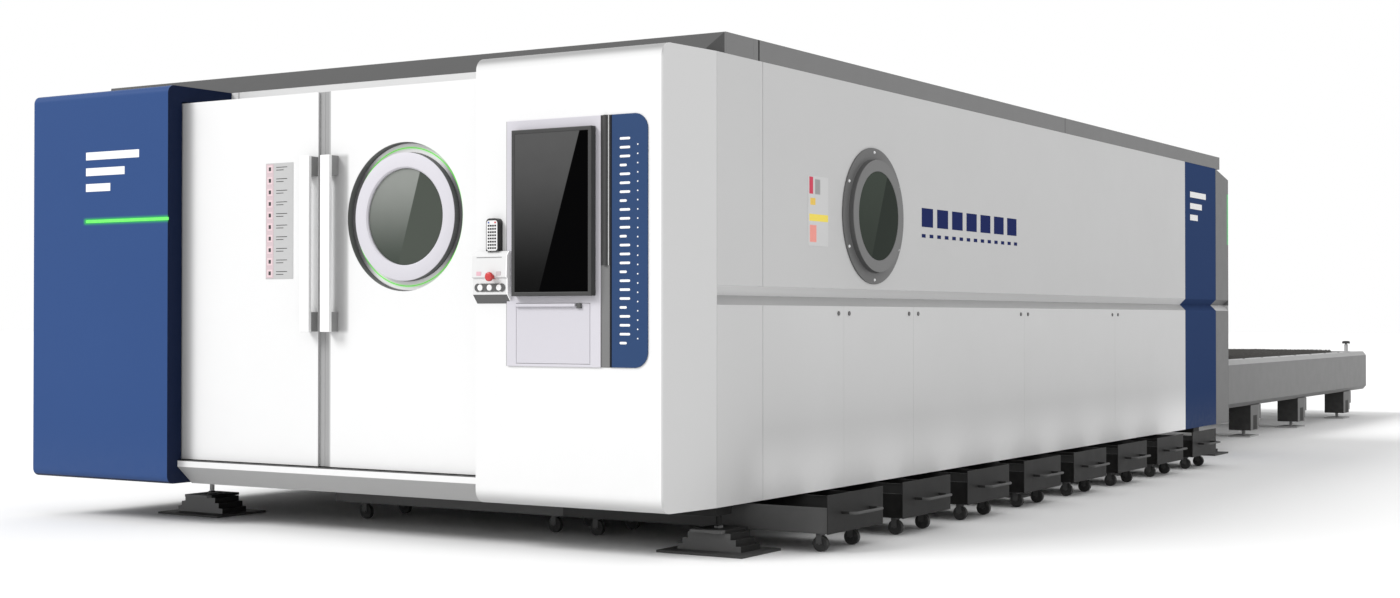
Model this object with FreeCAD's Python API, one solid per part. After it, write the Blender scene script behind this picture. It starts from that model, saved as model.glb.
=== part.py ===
import FreeCAD, Part
import math
import os

# Fibre laser sheet cutting machine: a closed cabinet with sliding front doors, a control
# console, a gantry over a bed, scrap trolleys under the bed and a pallet exchange table
# behind it. X runs right from the left wall, Y runs back from the console pillar's front
# and Z runs up from the floor. All sizes are in millimetres.

Vector = FreeCAD.Vector

# ---------------------------------------------------------------- driving dimensions
# Cabinet
left_bay_width = 776.5
right_bay_width = 80.5
body_front_y = 395.0
wall_length = 7075.0
band_length = 826.0
portal_length = 354.0
portal_chamfer_drop = 70.0
rear_plate = 40.0
wall_bottom = 216.0
wall_top = 2300.0
wall_thickness = 40.0
seam_width = 4.0
seam_depth = 6.0
upper_seam_y = 820.0
lower_seams_y = (820.0, 1660.0, 2500.0, 4130.0, 5830.0)
groove_bottom_z = 1142.0
groove_height = 89.0
groove_depth = 45.0
groove_sheet = 20.0

# Roof
roof_height = 100.0
roof_rear_inset = 240.0
roof_front_slope = 80.0
roof_corner = 85.0
roof_sheet = 20.0
roof_rim = 40.0
roof_seams_y = (730.0, 4790.0)

# Left front cover
cover_width = 1047.0
cover_reach = 55.0
cover_round = 42.0
cover_sheet = 20.0
cover_light_length = 625.0
cover_light_height = 16.0
cover_light_z = 1600.0
cover_light_depth = 6.0
cover_light_proud = 2.0

# Console pillar
pillar_front_width = 1031.0
pillar_slant = 47.0
pillar_round = 63.0
pillar_sheet = 20.0

# Front wall and doorway
front_wall_thickness = 40.0
doorway_inset = 54.0
doorway_top = 2120.0
door_bottom = 342.0
door_top = 2210.0
door_front_y = 50.0
door_thickness = 50.0
door_tuck = 26.0
meeting_offset = -5.0
door_slot_clearance = 10.0
seal_width = 36.0
seal_gap = 1.0
seal_recess = 12.0
seal_thickness = 30.0

# Door suspension and sill
rail_gap = 16.0
rail_width = 20.0
rail_height = 30.0
rail_top_z = 2160.0
rail_side_gap = 110.0
header_drop = 20.0
header_height = 60.0
hanger_width = 80.0
hanger_plate = 8.0
hanger_height = 130.0
hanger_inset = 150.0
roller_radius = 25.0
roller_gap = 0.3
sill_front_reach = 35.0
sill_strip = 34.0
sill_gap = 4.0
sill_bevel_run = 100.0
sill_drop = 6.0

# Door handles
handle_width = 62.0
handle_length = 875.0
handle_reach = 68.0
handle_plate = 20.0
handle_block = 100.0
handle_centre_z = 1450.0

# Window in the right door
window_z = 1572.0
window_from_pillar = 480.0
window_recess_radius = 361.5
window_recess_depth = 40.0
window_ring_radius = 311.5
window_glass_radius = 235.0
window_lip = 8.0
window_glass_thickness = 8.0
window_glass_setback = 14.0
glass_clearance = 0.3

# Window in the right wall
side_window_y = 2000.0
side_window_z = 1620.0
side_flange_radius = 360.0
side_flange_thickness = 8.0
side_ring_radius = 292.0
side_ring_taper = 14.0
side_ring_reach = 42.0
side_glass_radius = 235.0
side_glass_thickness = 10.0
side_glass_setback = 16.0

# Console
console_bottom = 860.0
console_height = 1130.0
console_left_gap = 187.0
console_panel_width = 526.0
console_panel_thickness = 8.0
channel_width = 50.0
channel_thickness = 3.0
grip_length = 673.0
grip_radius = 12.0
side_panel_width = 200.0
side_panel_thickness = 6.0
side_panel_round = 70.0
screen_width = 447.0
screen_height = 762.0
screen_depth = 36.0
screen_left_gap = 53.0
screen_top_gap = 47.0
screen_bezel = 19.0
screen_pocket = 4.0
screen_glass_thickness = 3.0
flap_width = 411.0
flap_height = 273.0
flap_left_gap = 56.0
flap_bottom_gap = 14.0
flap_clearance = 2.0
flap_ledge_reach = 14.0
flap_ledge_height = 14.0
flap_sheet = 8.0
pocket_depth = 36.0
pocket_sheet = 6.0
pocket_side = 14.0
keyboard_thickness = 20.0
keyboard_margin = 30.0
latch_width = 24.0
latch_depth = 10.0
latch_height = 22.0
latch_inset = 55.0
latch_ledge_gap = 6.0

# Operator box beside the console
box_left_gap = 9.0
box_width = 202.0
box_bottom = 1148.0
box_bevel_top = 1190.0
box_lip_z = 1266.0
box_top = 1391.0
box_depth = 38.0
box_lip = 4.0
box_lower_depth = 34.0
box_chamfer_run = 18.0
box_chamfer_rise = 21.0
button_radius = 14.5
button_spacing = 54.5
button_z = 1222.0
button_proud = 8.0
button_length = 22.0
button_clearance = 0.5
stop_head_radius = 22.0
stop_head_length = 16.0
stop_head_gap = 20.0
stop_stem_radius = 10.0
stop_stem_length = 40.0
stop_offset = 20.0
stop_z = 1272.0
remote_width = 70.0
remote_depth = 35.0
remote_height = 152.0
remote_round = 20.0
remote_left_gap = 87.0

# Bed
bed_beam_width = 240.0
bed_beam_bottom = 290.0
bed_beam_height = 690.0
bed_beam_wall = 12.0
bed_rear_gap = 96.0
bed_side_gap = 108.5
ridge_width = 160.0
ridge_top_width = 40.0
ridge_height = 110.0
bracket_width = 120.0
bracket_height = 100.0
bracket_count = 5
shelf_thickness = 20.0
gantry_rail_width = 40.0
gantry_rail_height = 30.0

# Feet
foot_front_inset = 95.0
foot_rear_inset = 300.0
foot_length = 460.0
foot_outboard = 130.0
foot_depth = 360.0
foot_plate = 12.0
foot_slim_depth = 190.0
foot_plinth_inset = 60.0
foot_steps = 3
foot_step_run = 28.0
foot_step_rise = 28.0
foot_pad = 14.0
foot_rod_radius = 13.0
foot_post = 120.0
foot_post_width = 150.0
foot_post_edge = 25.0

# Gantry
gantry_rest_y = 2600.0
gantry_end_length = 600.0
gantry_end_width = 200.0
gantry_end_height = 120.0
gantry_beam_depth = 300.0
gantry_beam_height = 300.0
gantry_beam_wall = 14.0
cross_rail_size = 20.0
cross_rail_inset = 50.0
carriage_width = 300.0
carriage_depth = 50.0
carriage_height = 320.0
head_width = 120.0
head_depth = 90.0
head_body_length = 520.0
nozzle_length = 200.0
nozzle_radius = 38.0
nozzle_tip_radius = 14.0
nozzle_tip_length = 60.0
nozzle_rest_z = 800.0
running_gap = 0.3
motor_size = 110.0
motor_height = 150.0

# Pallets
pallet_length = 6080.0
pallet_width = 2560.0
pallet_rail_width = 60.0
pallet_rail_height = 100.0
pallet_cross_count = 5
pallet_cross_width = 60.0
pallet_inside_y = 1570.0
pallet_travel = 7150.0
slat_pitch = 360.0
slat_thickness = 6.0
slat_height = 130.0
slat_lift = 10.0
tooth_count = 6
tooth_depth = 45.0
wheel_radius = 40.0
wheel_width = 30.0
wheel_count = 3
wheel_inset = 300.0
upper_track_z = 600.0
lower_track_z = 420.0
track_thickness = 12.0
track_reach = 50.0

# Exchange table
table_side_gap = 60.0
table_beam_width = 160.0
table_beam_bottom = 290.0
table_beam_height = 420.0
table_beam_chamfer = 40.0
table_length = 6260.0
table_end_chamfer = 60.0
table_end_beam = 80.0
table_cross_height = 80.0
table_cross_width = 100.0
table_legs_y = (10320.0, 12030.0, 13990.0)
table_leg_length = 250.0
table_leg_width = 200.0
table_leg_inset = 25.0
table_leg_bottom = 60.0
table_rib_length = 40.0
table_rib_drop = 30.0
table_box_length = 55.0
table_box_height = 130.0
table_rod_radius = 15.0
table_plate_length = 300.0
table_plate = 12.0
stop_post_y = 14200.0
stop_post_inset = 72.0
stop_post_radius = 20.0
stop_post_height = 86.0
stop_post_base = 60.0
stop_post_base_height = 12.0
table_stop_radius = 42.0
table_stop_height = 30.0
table_stop_gap = 8.0
table_stop_stem = 30.0
table_stop_stem_radius = 10.0
table_stop_travel = 6.0

# Rear opening for the pallets
slot_top = 860.0
rear_light_height = 420.0
rear_light_top_gap = 190.0
rear_light_width = 18.0
rear_light_depth = 8.0

# Scrap trolleys
trolley_count = 8
trolley_first_y = 683.0
trolley_pitch = 798.0
trolley_plate_width = 576.0
trolley_plate_bottom = 90.0
trolley_plate_height = 180.0
trolley_plate = 4.0
trolley_reach = 417.0
trolley_length = 1493.0
trolley_link = 20.0
trolley_link_width = 60.0
trolley_tray_inset = 20.0
trolley_tray_height = 120.0
trolley_sheet = 4.0
trolley_handle_width = 300.0
trolley_handle_reach = 80.0
trolley_handle_bar = 14.0
caster_radius = 37.5
caster_width = 24.0
caster_fork_length = 46.0
caster_near_inset = 90.0
caster_far_inset = 170.0
caster_end_inset = 77.0
caster_base_inset = 161.0

# Laser source in the left bay
source_width = 560.0
source_length = 1000.0
source_height = 1190.0
source_sheet = 20.0
source_left_gap = 80.0
source_front_gap = 265.0

# How far a cutting tool runs past the faces that it opens
overrun = 1.0

# Flat sides of the round parts that repeat many times
round_sides = 12
button_sides = 24
glass_sides = 48
caster_sides = 5

# ---------------------------------------------------------------- places worked out
bed_left_x = left_bay_width
bed_right_x = bed_left_x + pallet_width + 2 * (bed_beam_width + bed_side_gap)
bed_centre_x = (bed_left_x + bed_right_x) / 2
cabinet_width = bed_right_x + right_bay_width
wall_rear_y = body_front_y + wall_length
band_rear_y = wall_rear_y + band_length
cabinet_rear_y = band_rear_y + portal_length
groove_top_z = groove_bottom_z + groove_height
groove_crease_z = groove_bottom_z + groove_height / 2
pillar_right_x = cabinet_width - pillar_slant
pillar_left_x = pillar_right_x - pillar_front_width
door_back_y = door_front_y + door_thickness
rail_front_y = door_back_y + rail_gap
rail_back_y = rail_front_y + rail_width
slot_front_y = door_front_y - door_slot_clearance
slot_back_y = rail_back_y + 2 * roller_gap
meeting_x = (cover_width + pillar_left_x) / 2 + meeting_offset
bed_front_y = body_front_y + front_wall_thickness
bed_rear_y = band_rear_y - bed_rear_gap
foot_front_y = bed_front_y + foot_front_inset
foot_rear_y = bed_rear_y - foot_rear_inset
bed_top_z = bed_beam_bottom + bed_beam_height
gantry_rail_top = bed_top_z + gantry_rail_height
table_half = pallet_width / 2 + table_side_gap + table_beam_width
table_left_x = bed_centre_x - table_half
table_right_x = bed_centre_x + table_half
table_rear_y = cabinet_rear_y + table_length
table_top_z = table_beam_bottom + table_beam_height
track_left_x = table_left_x + table_beam_width
track_right_x = table_right_x - table_beam_width
pallet_left_x = bed_centre_x - pallet_width / 2
pallet_right_x = bed_centre_x + pallet_width / 2
pallet_outside_y = pallet_inside_y + pallet_travel
console_left_x = pillar_left_x + console_left_gap
console_top = console_bottom + console_height
channel_x = console_left_x + console_panel_width
side_panel_x = channel_x + channel_width
flap_left_x = console_left_x + flap_left_gap
flap_bottom_z = console_bottom + flap_bottom_gap
window_x = pillar_left_x - window_from_pillar
box_left_x = pillar_left_x + box_left_gap
button_middle_x = box_left_x + box_width / 2
stop_x = button_middle_x + stop_offset
stop_face_y = -(box_depth + box_lip)
estop_front = -stop_face_y + stop_head_gap + stop_head_length

# The row's frame stands at the middle of the whole machine's footprint.
trolley_front_x = cabinet_width + trolley_reach
reach_right = trolley_front_x + trolley_handle_reach
origin_x = reach_right / 2
origin_y = (table_rear_y - estop_front) / 2


# ---------------------------------------------------------------- helpers
def block(x, y, z):
    """A box between the low and high value of each axis."""
    return Part.makeBox(x[1] - x[0], y[1] - y[0], z[1] - z[0], Vector(x[0], y[0], z[0]))


def prism(points, direction):
    """A flat closed outline swept along a straight direction."""
    return Part.Face(Part.makePolygon(points + points[:1])).extrude(direction)


def prism_x(outline, x):
    """An outline of (y, z) points swept between two values of X."""
    return prism([Vector(x[0], py, pz) for py, pz in outline], Vector(x[1] - x[0], 0, 0))


def prism_y(outline, y):
    """An outline of (x, z) points swept between two values of Y."""
    return prism([Vector(px, y[0], pz) for px, pz in outline], Vector(0, y[1] - y[0], 0))


def prism_z(outline, z):
    """An outline of (x, y) points swept between two values of Z."""
    return prism([Vector(px, py, z[0]) for px, py in outline], Vector(0, 0, z[1] - z[0]))


def round_x(radius, y, z, x):
    """A cylinder along X."""
    return Part.makeCylinder(radius, x[1] - x[0], Vector(x[0], y, z), Vector(1, 0, 0))


def round_y(radius, x, z, y):
    """A cylinder along Y."""
    return Part.makeCylinder(radius, y[1] - y[0], Vector(x, y[0], z), Vector(0, 1, 0))


def round_z(radius, x, y, z):
    """A cylinder along Z."""
    return Part.makeCylinder(radius, z[1] - z[0], Vector(x, y, z[0]), Vector(0, 0, 1))


def arc_points(radius, count, first, last):
    """Points of a flat-sided round between two angles in degrees, both ends included."""
    step = math.radians(last - first) / count
    start = math.radians(first)
    return [(radius * math.cos(start + i * step), radius * math.sin(start + i * step))
            for i in range(count + 1)]


def many_sided(radius, sides=round_sides):
    """Outline of a repeated round part, which keeps few faces."""
    return arc_points(radius, sides, 0, 360)[:-1]


def rod_x(radius, sides, y, z, x):
    """A flat-sided round rod along X."""
    return prism_x([(y + py, z + pz) for py, pz in many_sided(radius, sides)], x)


def rod_y(radius, sides, x, z, y):
    """A flat-sided round rod along Y."""
    return prism_y([(x + px, z + pz) for px, pz in many_sided(radius, sides)], y)


def rod_z(radius, sides, x, y, z):
    """A flat-sided round rod along Z."""
    return prism_z([(x + px, y + py) for px, py in many_sided(radius, sides)], z)


def fused(first, *others):
    """Joined solids with the seams between flush faces removed."""
    return first.fuse(list(others)).removeSplitter()


def mirrored(shape, x):
    """A copy mirrored in the plane across X at x."""
    return shape.mirror(Vector(x, 0, 0), Vector(1, 0, 0))


def edges_along_x(shape, y, z):
    """Straight edges that run along X at a given Y and Z."""
    found = []
    for edge in shape.Edges:
        ends = [v.Point for v in edge.Vertexes]
        if all(abs(p.y - y) < 0.01 and abs(p.z - z) < 0.01 for p in ends):
            found.append(edge)
    return found


def save(node, *solids):
    """Write one node, moved into the machine's own frame."""
    shape = solids[0] if len(solids) == 1 else Part.makeCompound(list(solids))
    shape.translate(Vector(-origin_x, -origin_y, 0))
    shape.exportStep("parts/" + node + ".step")


# ---------------------------------------------------------------- cabinet walls
def lower_panel(y0, y1):
    """A service panel of the right wall, with a shallow notch along both upright edges."""
    inner = cabinet_width - wall_thickness
    panel = block((inner, cabinet_width), (y0, y1), (wall_bottom, groove_bottom_z))
    return notched(panel, y0, y1)


def notched(panel, y0, y1):
    """Half of a seam cut into the outer face at both ends of a right wall panel."""
    face = (cabinet_width - seam_depth, cabinet_width + overrun)
    height = (wall_bottom - overrun, wall_top + overrun)
    front = block(face, (y0 - overrun, y0 + seam_width / 2), height)
    rear = block(face, (y1 - seam_width / 2, y1 + overrun), height)
    return panel.cut(front).cut(rear)


def upper_panel(y0, y1):
    """An upper panel of the right wall."""
    inner = cabinet_width - wall_thickness
    panel = block((inner, cabinet_width), (y0, y1), (groove_top_z, wall_top))
    return notched(panel, y0, y1)


def groove_outline(bottom, top):
    """The folded side section of a wall with its V groove, outer face first."""
    w = cabinet_width
    inner = w - wall_thickness
    crease = w - groove_depth - groove_sheet
    return [(w, bottom), (w, groove_bottom_z), (w - groove_depth, groove_crease_z),
            (w, groove_top_z), (w, top), (inner, top), (inner, groove_top_z),
            (crease, groove_crease_z), (inner, groove_bottom_z), (inner, bottom)]


def groove_strip():
    """The folded strip that makes the long V groove of the right wall."""
    w = cabinet_width
    inner = w - wall_thickness
    outline = [(w, groove_bottom_z), (w - groove_depth, groove_crease_z), (w, groove_top_z),
               (inner, groove_top_z), (w - groove_depth - groove_sheet, groove_crease_z),
               (inner, groove_bottom_z)]
    return prism_y(outline, (body_front_y, wall_rear_y))


def make_walls():
    middle = cabinet_width / 2
    seams = (body_front_y,) + lower_seams_y + (wall_rear_y,)
    lower = [lower_panel(a, b) for a, b in zip(seams, seams[1:])]
    front = upper_panel(body_front_y, upper_seam_y)
    main = upper_panel(upper_seam_y, wall_rear_y)
    left = [mirrored(s, middle) for s in lower + [front, main]]
    bore = (cabinet_width - wall_thickness - overrun, cabinet_width + overrun)
    main = main.cut(round_x(side_glass_radius, side_window_y, side_window_z, bore))
    strip = groove_strip()
    save("left_wall_panels", *left)
    save("wall_groove_strips", strip, mirrored(strip, middle))
    save("right_upper_wall", front, main)
    save("right_lower_panels", *lower)

    band = prism_y(groove_outline(wall_bottom, wall_top), (wall_rear_y, band_rear_y))
    save("rear_band_panels", band, mirrored(band, middle))


def make_side_window():
    flange = cabinet_width + side_flange_thickness
    nose = cabinet_width + side_ring_reach
    outline = [(cabinet_width, side_glass_radius), (nose, side_glass_radius),
               (nose, side_ring_radius - side_ring_taper), (flange, side_ring_radius),
               (flange, side_flange_radius), (cabinet_width, side_flange_radius)]
    points = [Vector(x, side_window_y, side_window_z + r) for x, r in outline]
    face = Part.Face(Part.makePolygon(points + points[:1]))
    ring = face.revolve(Vector(0, side_window_y, side_window_z), Vector(1, 0, 0), 360)
    glass_x = nose - side_glass_setback
    glass = rod_x(side_glass_radius - glass_clearance, glass_sides, side_window_y,
                  side_window_z, (glass_x - side_glass_thickness, glass_x))
    save("side_window_flange", ring)
    save("side_window_glass", glass)


def make_roof():
    rear = cabinet_rear_y - roof_rear_inset
    top = wall_top + roof_height
    front_y = body_front_y
    right_x = cabinet_width
    plan = [(0, front_y + roof_corner), (roof_corner, front_y),
            (right_x - roof_corner, front_y), (right_x, front_y + roof_corner),
            (right_x, rear), (0, rear)]
    shell = prism_z(plan, (wall_top, top))
    wedge = prism_x([(front_y - overrun, wall_top), (front_y, wall_top),
                     (front_y + roof_front_slope, top), (front_y + roof_front_slope, top + overrun),
                     (front_y - overrun, top + overrun)], (-overrun, right_x + overrun))
    hollow_front = front_y + roof_front_slope + roof_rim
    hollow = block((roof_rim, right_x - roof_rim), (hollow_front, rear - roof_rim),
                   (wall_top - overrun, top - roof_sheet))
    shell = shell.cut(wedge).cut(hollow)
    cuts = (front_y,) + roof_seams_y + (rear,)
    trays = []
    for a, b in zip(cuts, cuts[1:]):
        tray = shell.common(block((0, right_x), (a, b), (wall_top, top)))
        end = block((-overrun, right_x + overrun), (b - seam_width / 2, b + overrun),
                    (top - seam_depth, top + overrun))
        trays.append(tray if b == rear else tray.cut(end))
    save("roof_panels", *trays)


def make_rear():
    """Grey end bay with its sloped top corner, and the rear wall around the pallet slot."""
    middle = cabinet_width / 2
    section = groove_outline(wall_bottom, wall_top)
    side = prism_y(section, (band_rear_y, cabinet_rear_y))
    slope = prism_x([(band_rear_y, wall_top), (cabinet_rear_y, wall_top - portal_chamfer_drop),
                     (cabinet_rear_y + overrun, wall_top - portal_chamfer_drop),
                     (cabinet_rear_y + overrun, wall_top + overrun),
                     (band_rear_y, wall_top + overrun)],
                    (-overrun, cabinet_width + overrun))
    side = side.cut(slope)
    save("rear_portal", side, mirrored(side, middle))

    slot_left = bed_left_x + bed_beam_width
    slot_right = bed_right_x - bed_beam_width
    inner = cabinet_width - wall_thickness
    y = (cabinet_rear_y - rear_plate, cabinet_rear_y)
    top = wall_top - portal_chamfer_drop
    groove_inner = groove_depth + groove_sheet
    left = block((groove_inner, slot_left), y, (wall_bottom, slot_top))
    right = block((slot_right, cabinet_width - groove_inner), y, (wall_bottom, slot_top))
    upper = block((groove_inner, cabinet_width - groove_inner), y, (slot_top, top))
    edge = block((inner, cabinet_width), (cabinet_rear_y, cabinet_rear_y + rear_light_depth),
                 (wall_bottom, top))
    closing = block((cabinet_width - groove_inner, inner),
                    (cabinet_rear_y, cabinet_rear_y + rear_light_depth), (wall_bottom, top))
    trim = fused(edge, closing)
    lower = block((slot_left, slot_right), y, (wall_bottom, table_beam_bottom))
    ceiling = prism_x([(band_rear_y, wall_top), (band_rear_y, wall_top - roof_sheet),
                       (cabinet_rear_y - rear_plate, top - roof_sheet),
                       (cabinet_rear_y - rear_plate, top), (cabinet_rear_y, top)],
                      (wall_thickness, inner))
    light_z = wall_top - rear_light_top_gap
    light_x = (cabinet_width - rear_light_width, cabinet_width)
    light = block(light_x, (cabinet_rear_y, cabinet_rear_y + rear_light_depth),
                  (light_z - rear_light_height, light_z))
    trim = trim.cut(light)
    save("rear_wall_panels", left, right, upper, lower, ceiling, trim, mirrored(trim, middle))
    save("rear_light_strips", light, mirrored(light, middle))


# ---------------------------------------------------------------- front
def side_slot(x):
    """The upright slot through which a door and its rail pass a side sheet."""
    return block(x, (slot_front_y, slot_back_y),
                 (door_bottom - door_slot_clearance, door_top + door_slot_clearance))


def make_cover():
    body = block((0, cover_width), (-cover_reach, body_front_y), (wall_bottom, wall_top))
    rounded = edges_along_x(body, -cover_reach, wall_top) + edges_along_x(body, -cover_reach,
                                                                          wall_bottom)
    body = body.makeFillet(cover_round, rounded)
    inside = block((cover_sheet, cover_width - cover_sheet),
                   (cover_sheet - cover_reach, body_front_y + overrun),
                   (wall_bottom + cover_sheet, wall_top - cover_sheet))
    inner_edges = (edges_along_x(inside, cover_sheet - cover_reach, wall_top - cover_sheet)
                   + edges_along_x(inside, cover_sheet - cover_reach, wall_bottom + cover_sheet))
    inside = inside.makeFillet(cover_round - cover_sheet, inner_edges)
    body = body.cut(inside)
    body = body.cut(side_slot((cover_width - cover_sheet - overrun, cover_width + overrun)))
    light_x = cover_width - cover_light_length
    half = cover_light_height / 2
    y = (-cover_reach - cover_light_proud, -cover_reach + cover_light_depth)
    bar = fused(block((light_x + half, cover_width), y,
                      (cover_light_z - half, cover_light_z + half)),
                round_y(half, light_x + half, cover_light_z, y))
    save("left_cover", body.cut(bar))
    save("cover_light_bar", bar)


def pillar_plan(inset):
    """Plan of the pillar: a straight front and a right side that slants out to the wall."""
    right = pillar_right_x - inset
    return [(pillar_left_x + inset, inset), (right, inset),
            (cabinet_width - inset, body_front_y), (pillar_left_x + inset, body_front_y)]


def make_pillar():
    body = prism_z(pillar_plan(0), (wall_bottom, wall_top))
    edges = edges_along_x(body, 0, wall_top) + edges_along_x(body, 0, wall_bottom)
    body = body.makeFillet(pillar_round, edges)
    z = (wall_bottom + pillar_sheet, wall_top - pillar_sheet)
    inside = prism_z(pillar_plan(pillar_sheet), z)
    inner_edges = (edges_along_x(inside, pillar_sheet, z[0])
                   + edges_along_x(inside, pillar_sheet, z[1]))
    inside = inside.makeFillet(pillar_round - pillar_sheet, inner_edges)
    body = body.cut(inside)
    body = body.cut(side_slot((pillar_left_x - overrun, pillar_left_x + pillar_sheet + overrun)))
    x = (flap_left_x + pocket_side, flap_left_x + flap_width - pocket_side)
    z = (flap_bottom_z + pocket_side, flap_bottom_z + flap_height - pocket_side)
    tray = block((x[0] - pocket_sheet, x[1] + pocket_sheet), (0, pocket_depth + pocket_sheet),
                 (z[0] - pocket_sheet, z[1] + pocket_sheet))
    body = body.fuse(tray).cut(block(x, (-overrun, pocket_depth), z)).removeSplitter()
    save("console_pillar", body)


def make_front_wall():
    y = (body_front_y, body_front_y + front_wall_thickness)
    fold = groove_depth + groove_sheet
    inner = (fold, cabinet_width - fold)
    opening = (cover_width + doorway_inset, pillar_left_x - doorway_inset)
    left = block((inner[0], opening[0]), y, (wall_bottom, wall_top))
    right = block((opening[1], inner[1]), y, (wall_bottom, wall_top))
    lintel = block(opening, y, (doorway_top, wall_top))
    threshold = block(opening, y, (wall_bottom, door_bottom))
    rail = block((rail_side_gap, pillar_right_x - rail_side_gap), (rail_front_y, rail_back_y),
                 (rail_top_z - rail_height, rail_top_z))
    shelf_z = (rail_top_z - header_height, rail_top_z - header_drop)
    spans = ((cover_sheet, cover_width - cover_sheet), (cover_width, pillar_left_x),
             (pillar_left_x + pillar_sheet, pillar_right_x - pillar_sheet))
    shelves = [block(x, (rail_back_y, body_front_y), shelf_z) for x in spans]
    save("front_wall_panels", left, right, lintel, threshold, rail, *shelves)


def make_sill():
    front = door_front_y - sill_front_reach
    top = door_bottom - sill_gap
    bottom = wall_bottom - sill_drop
    outline = [(front, top), (front, top - sill_strip), (front + sill_bevel_run, bottom),
               (body_front_y, bottom), (body_front_y, top)]
    save("door_sill", prism_x(outline, (cover_width, pillar_left_x)))


def hanger(x):
    """A door hanger: a plate on the door's back with a roller that runs on the rail."""
    plate = block((x - hanger_width / 2, x + hanger_width / 2),
                  (door_back_y, door_back_y + hanger_plate),
                  (door_top - hanger_height, door_top))
    axle_z = rail_top_z + roller_gap + roller_radius
    roller = rod_y(roller_radius, round_sides, x, axle_z,
                   (door_back_y + hanger_plate, rail_back_y - roller_gap))
    return fused(plate, roller)


def door_handle(x):
    """A pull with a flat grip plate on two end blocks; x is its left edge."""
    front = door_front_y - handle_reach
    low = handle_centre_z - handle_length / 2
    high = handle_centre_z + handle_length / 2
    wide = (x, x + handle_width)
    grip = block(wide, (front, front + handle_plate), (low, high))
    reach = (front + handle_plate, door_front_y)
    blocks = [block(wide, reach, z)
              for z in ((low, low + handle_block), (high - handle_block, high))]
    return fused(grip, *blocks)


def door_seal(x):
    """The soft edge profile that closes the gap between the doors."""
    y = (door_front_y + seal_recess, door_front_y + seal_recess + seal_thickness)
    return block(x, y, (door_bottom, door_top))


def make_doors():
    y = (door_front_y, door_back_y)
    z = (door_bottom, door_top)
    left_edge = meeting_x - seal_gap / 2 - seal_width
    right_edge = meeting_x + seal_gap / 2 + seal_width
    left_x = (cover_width - door_tuck, left_edge)
    right_x = (right_edge, pillar_left_x + door_tuck)
    left = block(left_x, y, z)
    save("left_door", left, door_seal((left_edge, left_edge + seal_width)),
         hanger(left_x[0] + hanger_inset), hanger(left_x[1] - hanger_inset))
    save("left_door_handle", door_handle(left_edge - handle_width))

    window = window_x
    right = block(right_x, y, z)
    recess_y = (door_front_y - overrun, door_front_y + window_recess_depth)
    right = right.cut(round_y(window_recess_radius, window, window_z, recess_y))
    right = right.cut(round_y(window_glass_radius - window_lip, window, window_z,
                              (door_front_y, door_back_y + overrun)))
    save("right_door", right, door_seal((right_edge - seal_width, right_edge)),
         hanger(right_x[0] + hanger_inset), hanger(right_x[1] - hanger_inset))
    save("right_door_handle", door_handle(right_edge))

    seat = (door_front_y, door_front_y + window_recess_depth)
    ring = round_y(window_ring_radius, window, window_z, seat)
    ring = ring.cut(round_y(window_glass_radius, window, window_z,
                            (seat[0] - overrun, seat[1] + overrun)))
    save("door_window_ring", ring)
    glass_y = door_front_y + window_glass_setback
    save("door_window_glass", rod_y(window_glass_radius - glass_clearance, glass_sides, window,
                                    window_z, (glass_y, glass_y + window_glass_thickness)))


# ---------------------------------------------------------------- console
def make_console():
    z = (console_bottom, console_top)
    x = (console_left_x, channel_x)
    panel = block(x, (-console_panel_thickness, 0), z)
    hole = block((flap_left_x - flap_clearance, flap_left_x + flap_width + flap_clearance),
                 (-console_panel_thickness - overrun, overrun),
                 (flap_bottom_z - flap_clearance, flap_bottom_z + flap_height + flap_clearance))
    channel = block((channel_x, side_panel_x), (-channel_thickness, 0), z)
    grip = round_z(grip_radius, channel_x + channel_width / 2, -channel_thickness,
                   (console_top - grip_length, console_top))
    grip = grip.common(block((channel_x, side_panel_x), (-channel_width, 0), z))
    save("console_panel", fused(panel.cut(hole), channel, grip))

    x = (side_panel_x, side_panel_x + side_panel_width)
    blue = block(x, (-side_panel_thickness, 0), z)
    corners = [e for e in blue.Edges
               if all(abs(v.X - x[1]) < 0.01 for v in e.Vertexes)
               and abs(e.Vertexes[0].Z - e.Vertexes[-1].Z) < 0.01]
    save("console_side_panel", blue.makeFillet(side_panel_round, corners))

    left = console_left_x + screen_left_gap
    top = console_top - screen_top_gap
    front = -console_panel_thickness - screen_depth
    x = (left, left + screen_width)
    z = (top - screen_height, top)
    glass_x = (x[0] + screen_bezel, x[1] - screen_bezel)
    glass_z = (z[0] + screen_bezel, z[1] - screen_bezel)
    housing = block(x, (front, -console_panel_thickness), z)
    housing = housing.cut(block(glass_x, (front - overrun, front + screen_pocket), glass_z))
    glass_y = (front + screen_pocket - screen_glass_thickness, front + screen_pocket)
    save("screen_housing", housing)
    save("screen_glass", block(glass_x, glass_y, glass_z))


def make_flap():
    x = (flap_left_x, flap_left_x + flap_width)
    z = (flap_bottom_z, flap_bottom_z + flap_height)
    sheet = block(x, (-flap_sheet, 0), z)
    latch_x = (x[1] - latch_inset - latch_width / 2, x[1] - latch_inset + latch_width / 2)
    ledge = block((x[0], latch_x[0] - latch_ledge_gap),
                  (-flap_sheet - flap_ledge_reach, -flap_sheet),
                  (z[1] - flap_ledge_height, z[1]))
    save("keyboard_flap", fused(sheet, ledge))
    margin = keyboard_margin
    save("keyboard", block((x[0] + margin, x[1] - margin), (0, keyboard_thickness),
                           (z[0] + margin, z[1] - margin)))
    latch_y = (-flap_sheet - running_gap - latch_depth, -flap_sheet - running_gap)
    save("flap_latch", block(latch_x, latch_y, (z[1] - latch_height, z[1])))


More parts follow.
